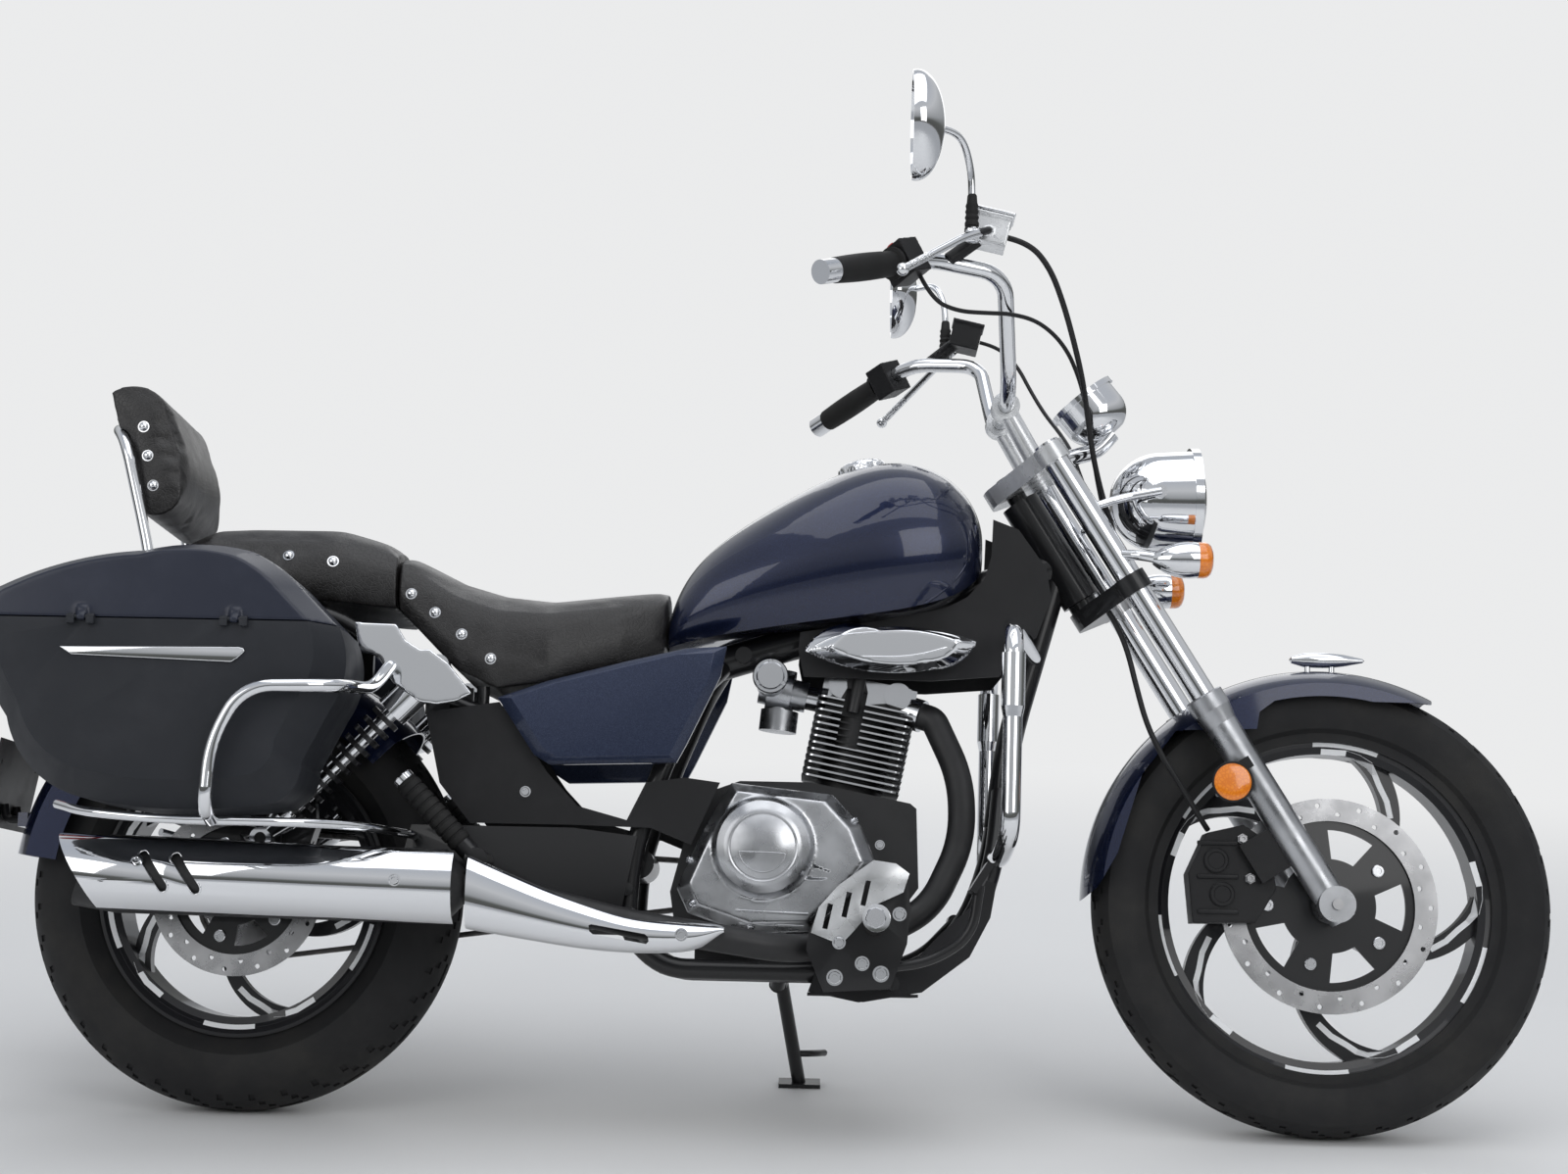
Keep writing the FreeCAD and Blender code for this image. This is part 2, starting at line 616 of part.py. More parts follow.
slider = turning("slider", [
    ("0", "0"), ("0", "slider_boss - 2"), ("2", "slider_boss"), ("24", "slider_boss"),
                            ("46", "slider_radius"),
    ("fork_drop - slider_top + 8", "slider_radius - 1"),
                            ("fork_drop - slider_top + 24", "slider_radius - 5"),
    ("fork_drop - slider_top + 24", "0")], at=along((S.fork_offset, -S.fork_half, -S.slider_top), DOWN))
axle_boss = rod("axle_boss", "slider_radius + 2", "2 * slider_radius + 2",
                (S.fork_offset, -S.fork_half - S.slider_radius - 1, -S.fork_drop), (0, 1, 0))
FENDER_LUG = 311
lug = block("fender_lug", "26", "fork_half - front_fender_half - seat_gap", "34",
            (S.fork_offset, -(S.fork_half + S.front_fender_half + S.seat_gap) / 2,
             FENDER_LUG - S.fork_drop))
caliper_lug = block("caliper_lug", "56", "12", "60",
                    (S.fork_offset - 40, -S.fork_half + 2, -S.fork_drop + 104))
axle_hole = rod("axle_hole", "front_axle_radius + run_gap", "4 * slider_radius",
                (S.fork_offset, -S.fork_half - 2 * S.slider_radius, -S.fork_drop), (0, 1, 0))
plain_slider = without("plain_slider", fused("slider_parts", [slider, axle_boss, lug]), [axle_hole])
braked_slider = without("braked_slider", fused("braked_parts", [slider, axle_boss, lug, caliper_lug]),
                        [axle_hole])
node("fork_sliders", side_by_side("fork_slider_pair",
                                  [braked_slider, mirrored("plain_slider_left", plain_slider)]), STEERING)

CALIPER = [  # forward and up from the axle, round the outside of the caliper
    (-190, -28), (-196, 40), (-170, 96), (-120, 108), (-84, 84), (-76, 20), (-104, -26)]
caliper = plate("caliper_block", [(str(c[0]), str(c[1])) for c in CALIPER],
                "fork_half - front_disc_side + 14 - seat_gap", offset="front_disc_side - 22")
caliper_slot = turning("caliper_slot", [
    ("-front_disc_side - disc_thick / 2 - 1", "0"), ("5 - front_hub_length / 2", "0"),
    ("5 - front_hub_length / 2", "front_disc_radius - front_disc_band + 15"),
    ("-front_disc_side + disc_thick / 2 + 1", "front_disc_radius - front_disc_band + 15"),
    ("-front_disc_side + disc_thick / 2 + 1", "front_disc_radius + 6"),
    ("-front_disc_side - disc_thick / 2 - 1", "front_disc_radius + 6")], "YZ_Plane")
node("front_caliper", without("front_caliper_cut", caliper, [caliper_slot]), FRONT_WHEEL)

# The handlebar and its controls

BAR = [(45, 0, 207), (45, 122, 207), (104, 238, 334), (20, 272, 398), (-123, 409, 416)]
bar_drift = Vector(S.bar_forward - 45, 0, S.bar_high - 207)
half_bar = [tuple(Vector(*p) + bar_drift) for p in BAR[1:]]
bar_points = mirror_points(half_bar)[::-1] + half_bar
bar_tip, bar_knee = Vector(*mirror_points(half_bar)[-1]), Vector(*mirror_points(half_bar)[-2])
inward = (bar_knee - bar_tip).normalize()
bar_cap = rod("bar_cap", "grip_radius - 1", "26", bar_tip - inward * 24, inward)
bar_tube = shaped("bar_tube", tube_shape(bar_points, S.bar_radius, 0.3))
node("handlebar", fused("handlebar_parts", [bar_tube, bar_cap, mirrored("bar_cap_left", bar_cap)]),
     STEERING)

grip = turning("grip", [
    ("0", "bar_radius + seat_gap"), ("grip_length", "bar_radius + seat_gap"),
                        ("grip_length", "grip_radius + 5"),
    ("grip_length - 5", "grip_radius + 5"), ("grip_length - 7", "grip_radius"),
                        ("grip_length / 2", "grip_radius + 1.5", "mid"),
    ("2", "grip_radius"), ("0", "grip_radius - 1")],
               at=along(bar_tip + inward * (2 + S.seat_gap), inward))
node("grips", both_sides("grip_pair", grip), STEERING)

turn_out = Rotation(Vector(1, 0, 0), inward)
switch_at = bar_tip + inward * (S.grip_length + 24)
switch_box = block("switch_box", "36", "46", "50", switch_at, turn_out)
tank_turn = Rotation(Vector(0, 1, 0), S.rake + 13)
reservoir = block("reservoir", "46", "44", "38", (112, -262, 388), tank_turn)
reservoir_lid = block("reservoir_lid", "50", "48", "5",
                      Vector(112, -262, 388) + tank_turn.multVec(Vector(0, 0, 21)), tank_turn)
perch = shaped("perch", tube_shape([tuple(bar_knee + Vector(22, 2, -14)), (112, -262, 392)], 10))
lever_base, lever_elbow, lever_tip = (108, -286, 388), (62, -332, 386), (-46, -416, 369)
lever_blade = shaped("lever_blade", tube_shape([(112, -262, 392), lever_base, lever_elbow, lever_tip],
                                               5.5, 0.3))
lever_ball = doc.addObject("Part::Sphere", "lever_ball")
bind(lever_ball, Radius="8.5")
lever_ball.Placement = Placement(Vector(*lever_tip), Rotation())
up_here = STEERING.Rotation.inverted().multVec(Vector(0, 0, 1))
mirror_seat = rod("mirror_seat", "10", "20", (74.7, -303, 381.7), up_here)
bar_bore = shaped("bar_bore", tube_shape(mirror_points(half_bar), S.bar_radius + S.seat_gap, 0.3))
control = without("control", fused("control_parts",
                                   [switch_box, reservoir, reservoir_lid, perch, lever_blade, lever_ball,
                                    mirror_seat]), [bar_bore])
node("bar_controls", both_sides("control_pair", control), STEERING)

# Mirrors, lamps and instrument, level with the ground

MIRROR = [(0, -75), (44, -40, "mid"), (59, 14), (42, 60, "mid"), (0, 75), (-42, 60, "mid"), (-59, 14),
          (-44, -40, "mid")]
mirror_at = Vector(-200, -380, 498)


def mirror_outline(share):
    return [(f"{share} * mirror_wide / 118 * ({c[0]})", f"{share} * mirror_tall / 150 * ({c[1]})") + c[2:]
            for c in MIRROR]


mirror_head = loft("mirror_head", "YZ_Plane", [
    ("-mirror_deep / 2", mirror_outline(0.97)), ("-mirror_deep / 4", mirror_outline(1)),
    ("mirror_deep / 5", mirror_outline(0.8)), ("mirror_deep / 2", mirror_outline(0.34))], True)
mirror_head.Placement = Placement(mirror_at, Rotation())
stem_points = [(-137, -303, 386), (-137, -305, 414), (-146, -330, 468), (-164, -352, 500),
               (-186, -366, 500)]
mirror_stem = shaped("mirror_stem", tube_shape(stem_points, 5.5))
mirror_knob = rod("mirror_knob", "9.5", "44", (-137, -303, 385.2), (0, -4, 44))
node("mirrors", both_sides("mirror_pair", fused("mirror_parts", [mirror_head, mirror_stem, mirror_knob])),
     LEVEL)

def seen_level(point):
    """A point of the steering frame as the level frame has it."""
    return LEVEL.inverse().multVec(STEERING.multVec(Vector(*point)))


leg_way = STEERING.Rotation.multVec(Vector(0, 0, 1))
leg_rooms = [rod(f"leg_room_{side + 1}", "fork_tube_radius + seat_gap", "500",
                 seen_level((S.fork_offset, side * S.fork_half, -300)), leg_way)
             for side in (-1, 1)]
LAMP = (87, 0, 75)
lamp_shell = turning("lamp_shell", [
    ("0", "0"), ("0", "20"), ("24", "lamp_radius - 20", "mid"), ("64", "lamp_radius - 4"),
                                    ("lamp_length - 12", "lamp_radius - 1"),
    ("lamp_length - 12", "lamp_radius + 3"), ("lamp_length", "lamp_radius + 3"),
                                    ("lamp_length", "lamp_radius - 6"),
    ("66", "lamp_radius - 8"), ("32", "lamp_radius - 26", "mid"), ("10", "12"), ("10", "0")],
                     at=Placement(Vector(*LAMP), Rotation()))
lamp_arms = []
for side in (-1, 1):
    arm = tube_shape([(44, side * 97, 46), (92, side * (S.lamp_radius + 6), 64),
                      (87 + 60, side * (S.lamp_radius + 6), 75)], 6, 0.3)
    lamp_arms.append(shaped(f"lamp_arm_{side + 1}", arm))
    lamp_arms.append(rod(f"lamp_pivot_{side + 1}", "9", "lamp_radius / 5",
                         (87 + 60, side * (S.lamp_radius + 6), 75), (0, -side, 0)))
node("headlamp", without("headlamp_cut", fused("headlamp_parts", [lamp_shell] + lamp_arms), leg_rooms),
     LEVEL)

lens = turning("lens", [("lamp_length - 8", "0"), ("lamp_length - 8", "lamp_radius - 6.7"),
                        ("lamp_length - 1", "lamp_radius - 6.7"),
                        ("lamp_length + 8", "lamp_radius * 0.55", "mid"),
                        ("lamp_length + 12", "0")], at=Placement(Vector(*LAMP), Rotation()))
node("headlamp_lens", lens, LEVEL)

face_way = (-0.62, 0, 0.78)
pod = turning("pod", [
    ("0", "0"), ("0", "26"), ("14", "pod_radius - 6", "mid"), ("36", "pod_radius"),
                      ("pod_length - 8", "pod_radius"),
    ("pod_length - 8", "pod_radius + 4"), ("pod_length", "pod_radius + 4"),
                      ("pod_length", "pod_radius - 3"),
    ("pod_length - 7", "pod_radius - 3"), ("pod_length - 7", "0")], at=along((84, 0, 176), face_way))
yoke_mid = S.yoke_top + S.yoke_thick / 2
pod_bracket = shaped("pod_bracket", tube_shape([(88, 0, 176), (66, 0, 150),
                                                tuple(seen_level((S.fork_offset + 26, 0, yoke_mid))),
                                                tuple(seen_level((S.fork_offset + 8 + S.seat_gap, 0,
                                                                  yoke_mid)))], 12))
node("instrument", fused("instrument_parts", [pod, pod_bracket]), LEVEL)

blinker = turning("blinker", [
    ("0", "0"), ("0", "7"), ("blinker_length * 0.4", "blinker_radius - 3", "mid"),
                              ("blinker_length - 6", "blinker_radius"),
    ("blinker_length + 8", "blinker_radius - 6", "mid"), ("blinker_length + 16", "0")],
    at=Placement(Vector(128, -128, -32), Rotation()))
blinker_stem = shaped("blinker_stem", tube_shape([(76, -100, -20), (112, -126, -26), (138, -128, -31)],
                                                 7))
blinker_cut = without("blinker_cut", fused("blinker_parts", [blinker, blinker_stem]), leg_rooms[:1])
node("front_indicators", both_sides("front_indicator_pair", blinker_cut), LEVEL)

reflector = rod("reflector_disc", "27", "8", (22, -124, -412), (0, -1, 0))
reflector_arm = block("reflector_arm", "48", "5", "16",
                      (36, -S.fork_half - S.slider_radius - S.seat_gap - 2.5, -400))
node("fork_reflectors", both_sides("fork_reflector_pair",
                                   fused("reflector_parts", [reflector, reflector_arm])), STEERING)

# The front fender hugs the tyre: a curved section swept round the wheel, then trimmed to its side view

fender_out = "(front_tyre_radius + front_fender_gap + wall)"
skirt = "(front_tyre_radius - 62)"
front_section = body("front_fender_section")
turned(front_section, outline(front_section, "YZ_Plane", [
    ("-front_fender_half", skirt), ("-front_fender_half", f"{fender_out} - 24"), ("0", fender_out, "mid"),
    ("front_fender_half", f"{fender_out} - 24"), ("front_fender_half", skirt),
                                                          ("front_fender_half - wall", skirt),
    ("front_fender_half - wall", f"{fender_out} - 24 - wall * 0.6"), ("0", f"{fender_out} - wall", "mid"),
    ("wall - front_fender_half", f"{fender_out} - 24 - wall * 0.6"),
                                                          ("wall - front_fender_half", skirt)]), 124)
front_section.Placement = Placement(Vector(), Rotation(Vector(0, 1, 0), -95))
FENDER_SIDE = [  # forward and up from the axle: the lower edge, then round above the fender
    (172, 318), (149, 284), (65, 285), (0, 292, "mid"), (-71, 284), (-92, 268), (-96, 244), (-207, 240),
               (-255, 178), (-289, 68),
    (-316, 20), (-372, -34), (-420, -34), (-420, 420), (190, 420)]
fender_side = plate("front_fender_side", [(str(c[0]), str(c[1])) + c[2:] for c in FENDER_SIDE],
                    "4 * front_fender_half", middle=True)
trimmed = doc.addObject("Part::Common", "front_fender_trimmed")
trimmed.Base, trimmed.Tool = front_section, fender_side
node("front_fender", trimmed, FRONT_WHEEL)

ornament = turning("ornament", [
    ("-46", "0"), ("-43", "5"), ("-26", "10"), ("4", "11", "mid"), ("34", "8"), ("58", "3"), ("61", "0")],
    at=Placement(Vector(8, 0, number(fender_out) + 17), Rotation()))
ornament_posts = [rod(f"ornament_post_{x}", "4", "16", (x, 0, number(fender_out) + S.seat_gap), (0, 0, 1))
                  for x in (-12, 22)]
node("fender_ornament", fused("ornament_parts", [ornament] + ornament_posts), FRONT_WHEEL)

# Hoses and cables, each one tube from its fitting to where it goes in. They all turn with the fork.

yoke_low_top = -S.yoke_low + S.seat_gap
BRAKE_HOSE = [
    (128.7, -262, 371.5), (150, -262, 350.4), (158, -254, 308), (151, -238, 258), (143, -203, 210),
              (137, -155, 168),
    (127, -106, 128), (112, -74, 84), (98, -57, 36), (86, -48, -14), (74, -42, -64),
              (74, -42, yoke_low_top)]
THROTTLE_CABLE = [
    (-8, -300, 376.1), (-11.2, -301.3, 340.3), (13, -283, 314), (50, -256, 298), (88, -226, 284),
                  (122, -190, 262),
    (143, -150, 224), (146, -106, 180), (136, -66, 132), (118, -38, 84), (100, -25, 34), (84, -21, -18),
    (68, -19, -64), (68, -19, yoke_low_top)]
LOWER_HOSE = [
    (14, -62, -S.yoke_low - S.yoke_thick - S.seat_gap), (14, -62, -145), (5, -74, -184), (-14, -92, -232),
    (-32, -105, -284), (-38, -108.5, -334), (-37, -107, -378), (-36, -98, -412), (-34, -85, -436),
              (-31.8, -75, -451.4)]
CABLES = [
    # name, route, radius
    ("brake_hose", BRAKE_HOSE, 4),
    ("clutch_cable", mirror_points(BRAKE_HOSE), 3),
    ("throttle_cable", THROTTLE_CABLE, 3),
    ("lower_brake_hose", LOWER_HOSE, 4),
]
for name, route, radius in CABLES:
    tube = tube_shape(route, radius)
    tightest = min(bend_radii(route))
    swept = tube.Volume / (math.pi * radius ** 2 * bent_path(route).Length)
    print(f"{name}: tightest bend {tightest:.0f} mm, {tightest / (2 * radius):.1f} diameters; "
          f"volume {swept:.4f} of section times length")
    node(name, shaped(name + "_tube", tube), STEERING)


# The frame

NECK = (HEAD.x, 0, HEAD.z)


def near_head(along_fwd, up_axis):
    """A point in the motorcycle's frame from steering frame distances, on the middle plane."""
    return tuple(STEERING.multVec(Vector(along_fwd, 0, up_axis)))


SEAT_LINE = 712
rail_z = SEAT_LINE - S.rail_radius - S.seat_gap
cradle = [(1068, -18, 470), (1056, -64, 370), (1024, -S.cradle_half, 282), (950, -S.cradle_half, 212),
          (600, -S.cradle_half, 212),
          (548, -S.cradle_half, 262), (552, -S.cradle_half, 360), (588, -S.cradle_half, 480),
          (640, -78, 600), (668, -20, 638)]
rail = [(640, -40, 640), (540, -S.rail_half + 10, 588), (420, -S.rail_half, 556),
        (310, -S.rail_half, 560), (205, -S.rail_half, 646),
        (110, -S.rail_half, rail_z), (-150, -S.rail_half, rail_z)]

head_tube = rod("head_tube_blank", "head_radius", "2 * head_half",
                tuple(STEERING.multVec(Vector(0, 0, -S.head_half))),
                tuple(STEERING.Rotation.multVec(Vector(0, 0, 1))))
head_bore = rod("head_bore", "stem_radius + run_gap", "3 * head_half",
                tuple(STEERING.multVec(Vector(0, 0, -1.5 * S.head_half))),
                tuple(STEERING.Rotation.multVec(Vector(0, 0, 1))))
backbone = shaped("backbone", tube_shape([near_head(-4, -22), (640, 0, 640)], S.backbone_radius))
down_path = [near_head(-10, -34), (1078, 0, 540), (1062, 0, 420)]
downtube = shaped("downtube", tube_shape(down_path, S.downtube_radius))
gusset = plate("neck_gusset", [(str(NECK[0] - 8), str(NECK[2] - 30)),
                               (str(NECK[0] - 110), str(NECK[2] - 60)),
                               (str(NECK[0] - 52), str(NECK[2] - 210)),
                               (str(NECK[0] - 30), str(NECK[2] - 180))], "8", middle=True)
frame_parts = [head_tube, backbone, downtube, gusset]
one_side = [shaped("cradle_tube", tube_shape(cradle, S.cradle_radius)),
            shaped("seat_rail", tube_shape(rail, S.rail_radius))]
for x, z, top, name in ((475, 568, 611, "a"), (340, 556, 595, "b")):
    one_side.append(rod("seat_post_" + name, "9", str(top - z), (x, -S.rail_half, z), (0, 0, 1)))
for x, name in ((-80, "a"), (132, "b")):
    one_side.append(block("bag_drop_" + name, "24", "14", "92", (x, -S.rail_half, 646)))
    one_side.append(rod("bag_arm_" + name, "8", "bag_inner - seat_gap - rail_half",
                        (x, -S.rail_half, 612), (0, -1, 0)))
one_side.append(block("fender_hold", "60", "rail_half - rear_fender_half - seat_gap", "96",
                      (30, -(S.rail_half + S.rear_fender_half + S.seat_gap) / 2, 652)))
one_side.append(rod("shock_mount", "8", "strut_side - rail_half - seat_gap", (283, -S.rail_half, 618),
                    (0, -1, 0)))
one_side.append(block("shock_plate", "34", "10", "68", (278, -S.rail_half - 4, 588)))
one_side.append(rod("pipe_hanger", "7", "silencer_side - cradle_half - header_radius",
                    (556, -S.cradle_half, 286), (0, -1, 0)))
for x, name in ((836, "a"), (912, "b")):
    one_side.append(rod("peg_arm_" + name, "9", "peg_plate - cradle_half", (x, -S.cradle_half, 198),
                        (0, -1, 0)))
frame_parts += one_side + [mirrored(part.Name + "_left", part) for part in one_side]
for x, z, name in ((NECK[0] - 40, NECK[2] - 62, "a"), (862, 692, "b")):
    frame_parts.append(rod("shroud_rod_" + name, "7", "2 * (shroud_half - seat_gap)",
                           (x, -S.shroud_half + S.seat_gap, z), (0, 1, 0)))
for x, name in ((960, "a"), (700, "b")):
    z = 640 + (x - 640) * (near_head(-4, -22)[2] - 640) / (near_head(-4, -22)[0] - 640)
    frame_parts.append(rod("tank_pad_" + name, "12", "2 * (backbone_radius + tunnel_gap - seat_gap)",
                           (x, -S.backbone_radius - S.tunnel_gap + S.seat_gap, z), (0, 1, 0)))
for x, name in ((-80, "a"), (95, "b")):
    frame_parts.append(rod("seat_bridge_" + name, "rail_radius", "2 * rail_half",
                           (x, -S.rail_half, rail_z), (0, 1, 0)))
frame_parts.append(rod("engine_tie", "8", "2 * cradle_half", (600, -S.cradle_half, 212), (0, 1, 0)))

# The stand's bolt is square to the plane that its leg swings in
FOOT = Vector(S.stand_foot_x, S.stand_foot_side, 0)
PARKED = Placement(Vector(0, 0, S.tyre_crown * (1 - math.cos(math.radians(S.lean)))),
                   Rotation(Vector(1, 0, 0), -S.lean))
foot_low = PARKED.inverse().multVec(FOOT)
PIVOT = Vector(S.stand_pivot_x, S.stand_side, S.stand_pivot_z)
leg_down = (foot_low - PIVOT).normalize()
leg_stowed = Vector(-0.985, 0.12, 0.12).normalize()
STAND_AXIS = leg_down.cross(leg_stowed).normalize()
STAND_TRAVEL = math.degrees(leg_down.getAngle(leg_stowed))
stand_bolt = rod("stand_bolt", "stand_pin_radius", "44", PIVOT - STAND_AXIS * 22, STAND_AXIS)
stand_boss = rod("stand_boss", "stand_eye_radius", "14", PIVOT - STAND_AXIS * 24.5, STAND_AXIS)
stand_strut = shaped("stand_strut", tube_shape([(S.stand_pivot_x, S.cradle_half, 212),
                                                tuple(PIVOT - STAND_AXIS * 24)], 11))
stand_nut = rod("stand_nut", "stand_pin_radius + 4", "9", PIVOT + STAND_AXIS * 10.5, STAND_AXIS)
frame_parts += [stand_bolt, stand_boss, stand_strut, stand_nut]
node("main_frame", without("main_frame_tubes", fused("frame_parts", frame_parts), [head_bore]))

stand_eye = rod("stand_eye", "stand_eye_radius", "20", PIVOT - STAND_AXIS * 10, STAND_AXIS)
bend = PIVOT + leg_down * 92 + Vector(0, 7, 0)
stand_leg = shaped("stand_leg", tube_shape([tuple(PIVOT + leg_down * 6), tuple(bend),
                                            tuple(foot_low - leg_down * 2)], S.stand_leg_radius, 0.3))
foot_plate = block("stand_foot_plate", "62", "40", "stand_foot_thick", (0, 0, 0))
foot_plate.Placement = PARKED.inverse() * Placement(FOOT + Vector(0, 0, S.stand_foot_thick / 2),
                                                    Rotation()) * foot_plate.Placement
tang = shaped("stand_tang", tube_shape([tuple(PIVOT + leg_down * 128 + Vector(0, 2, 0)),
                                        tuple(PIVOT + leg_down * 132 + Vector(30, 12, 4)),
                                        tuple(PIVOT + leg_down * 138 + Vector(44, 40, 10))], 5))
stand_hole = rod("stand_hole", "stand_pin_radius + run_gap", "60", PIVOT - STAND_AXIS * 30, STAND_AXIS)
under_floor = block("under_floor", "400", "400", "100", (0, 0, 0))
under_floor.Placement = PARKED.inverse() * Placement(FOOT + Vector(0, 0, -50),
                                                     Rotation()) * under_floor.Placement
node("side_stand", without("side_stand_cut", fused("stand_parts",
                                                   [stand_eye, stand_leg, foot_plate, tang]),
                           [stand_hole, under_floor]))

# Swinging arm, shocks and chain

arm_path = [(S.pivot_x, -54, S.pivot_z), (455, -56, 352), (345, -S.arm_half, 340),
            (40, -S.arm_half, S.rear_tyre_radius + 3)]
arm_tube = shaped("arm_tube", tube_shape(arm_path, S.arm_radius))
arm_end = block("arm_end", "110", "18", "46", (0, -S.arm_half, S.rear_tyre_radius))
shock_foot = rod("shock_foot", "8", "shock_side - arm_half + 12", (48, -S.arm_half, 375), (0, -1, 0))
shock_tab = block("shock_tab", "34", "12", "76", (48, -S.arm_half, 350))
arm_bore = rod("arm_bore", "rear_axle_radius + run_gap", "3 * arm_half",
               (0, -1.5 * S.arm_half, S.rear_tyre_radius), (0, 1, 0))
arm_side = [arm_tube, arm_end, shock_foot, shock_tab]
arm_cross = rod("arm_cross", "pivot_radius", "140", (S.pivot_x, -70, S.pivot_z), (0, 1, 0))
arm_bolt = rod("arm_bolt", "8", "2 * (cradle_half - cradle_radius - seat_gap)",
               (S.pivot_x, -S.cradle_half + S.cradle_radius + S.seat_gap, S.pivot_z), (0, 1, 0))
arm_bridge = rod("arm_bridge", "12", "140", (430, -70, 350), (0, 1, 0))
arm_all = arm_side + [mirrored(part.Name + "_left", part) for part in arm_side] + [arm_cross, arm_bolt,
                                                                                   arm_bridge]
node("swinging_arm", without("swinging_arm_bored", fused("arm_parts", arm_all), [arm_bore]))

SHOCK_LOW, SHOCK_HIGH = Vector(48, -S.shock_side, 375), Vector(283, -S.shock_side, 618)
shock_way = (SHOCK_HIGH - SHOCK_LOW).normalize()
shock_long = (SHOCK_HIGH - SHOCK_LOW).Length
at_shock = along(tuple(SHOCK_LOW), tuple(shock_way))
shock_core = turning("shock_core", [
    ("14", "0"), ("14", "13"), ("40", "22"), ("52", "22"), ("52", "11"), (str(shock_long - 92), "11"),
                                    (str(shock_long - 92), "shock_radius"),
    (str(shock_long - 22), "shock_radius"), (str(shock_long - 12), "14"), (str(shock_long - 12), "0")],
                     at=at_shock)
COILS = 11
coil_step = (shock_long - 92 - 54) / COILS
coil_turns = [turning(f"coil_{i}", [(str(56 + i * coil_step), "10"),
                                    (str(56 + i * coil_step), "shock_radius - 2"),
                                    (str(63 + i * coil_step), "shock_radius - 2"),
                                    (str(63 + i * coil_step), "10")], at=at_shock) for i in range(COILS)]
eyes = [rod(f"shock_eye_{i}", "15", "24", tuple(end - Vector(0, 12, 0)), (0, 1, 0)) for i,
        end in enumerate((SHOCK_LOW, SHOCK_HIGH))]
eye_holes = [rod(f"eye_hole_{i}", str(r), "60", tuple(end - Vector(0, 30, 0)), (0, 1, 0))
             for i, (end, r) in enumerate(((SHOCK_LOW, 8 + S.seat_gap), (SHOCK_HIGH, 8 + S.seat_gap)))]
one_shock = without("one_shock", fused("shock_parts", [shock_core] + coil_turns + eyes), eye_holes)
node("rear_shocks", both_sides("rear_shock_pair", one_shock))

link_out, link_in = S.sprocket_radius + 8, S.sprocket_radius + 4.5
FRONT_CHAIN = Vector(655, S.chain_side, 337)
rear_chain = Vector(0, S.chain_side, S.rear_tyre_radius)
small = 27


def belt(name, big, little, thick):
    """A closed band round both chain wheels."""
    way = FRONT_CHAIN - rear_chain
    tilt = math.asin((big - little) / way.Length)
    slope = math.atan2(way.z, way.x)
    up, down = slope + math.pi / 2 - tilt, slope - math.pi / 2 + tilt
    spot = lambda c, r, a: Vector(c.x + r * math.cos(a), S.chain_side - thick / 2, c.z + r * math.sin(a))
    a, b = spot(rear_chain, big, up), spot(FRONT_CHAIN, little, up)
    c, d = spot(FRONT_CHAIN, little, down), spot(rear_chain, big, down)
    edges = [Part.LineSegment(a, b).toShape(), Part.Arc(b, spot(FRONT_CHAIN, little, slope), c).toShape(),
             Part.LineSegment(c, d).toShape(), Part.Arc(d, spot(rear_chain, big, slope + math.pi),
                                                        a).toShape()]
    return Part.Face(Part.Wire(edges)).extrude(Vector(0, thick, 0))


chain_loop = belt("chain", link_out + 3.5, small + 8, 14).cut(belt("chain_inside", link_in, small, 20))
drive_hub = Part.makeCylinder(small, 14, FRONT_CHAIN - Vector(0, 7, 0), Vector(0, 1, 0))
node("drive_chain", shaped("drive_chain_shape", chain_loop.fuse(drive_hub)))
guard_side = plate("chain_guard_side", [
    ("-60", "rear_tyre_radius + sprocket_radius + 24"), ("60", "rear_tyre_radius + sprocket_radius + 30"),
                                        ("430", "412"), ("440", "392"),
    ("60", "rear_tyre_radius + sprocket_radius + 8"), ("-60", "rear_tyre_radius + sprocket_radius - 6")],
                   "21", offset="-chain_side - 12")
guard_stay = block("guard_stay", "12", "18", "52", (250, S.chain_side + 20, 373.7))
guard_room = shaped("guard_room", belt("guard_room", link_out + 6.5, small + 11, 18))
chain_guard = fused("chain_guard_parts", [without("chain_guard_cut", guard_side, [guard_room]),
                                          guard_stay])

REAR_CALIPER = [(18, 92), (30, 140), (78, 138), (112, 92), (104, 66), (70, 62)]
rear_caliper = plate("rear_caliper_block", [(str(c[0]), str(c[1])) for c in REAR_CALIPER], "36",
                     offset="rear_disc_side - 18")
rear_slot = turning("rear_slot", [
    ("-rear_disc_side - disc_thick / 2 - 1", "0"), ("5 - rear_hub_length / 2", "0"),
    ("5 - rear_hub_length / 2", "rear_disc_radius - rear_disc_band + 15"),
    ("-rear_disc_side + disc_thick / 2 + 1", "rear_disc_radius - rear_disc_band + 15"),
    ("-rear_disc_side + disc_thick / 2 + 1", "rear_disc_radius + 6"),
    ("-rear_disc_side - disc_thick / 2 - 1", "rear_disc_radius + 6")], "YZ_Plane")
caliper_stay = block("caliper_stay", "24", "8", "88.4", (66, -S.rear_disc_side - 14, 62.8))
node("rear_caliper", without("rear_caliper_cut", fused("rear_caliper_parts",
                                                       [rear_caliper, caliper_stay]), [rear_slot]),
     REAR_WHEEL)


# The engine

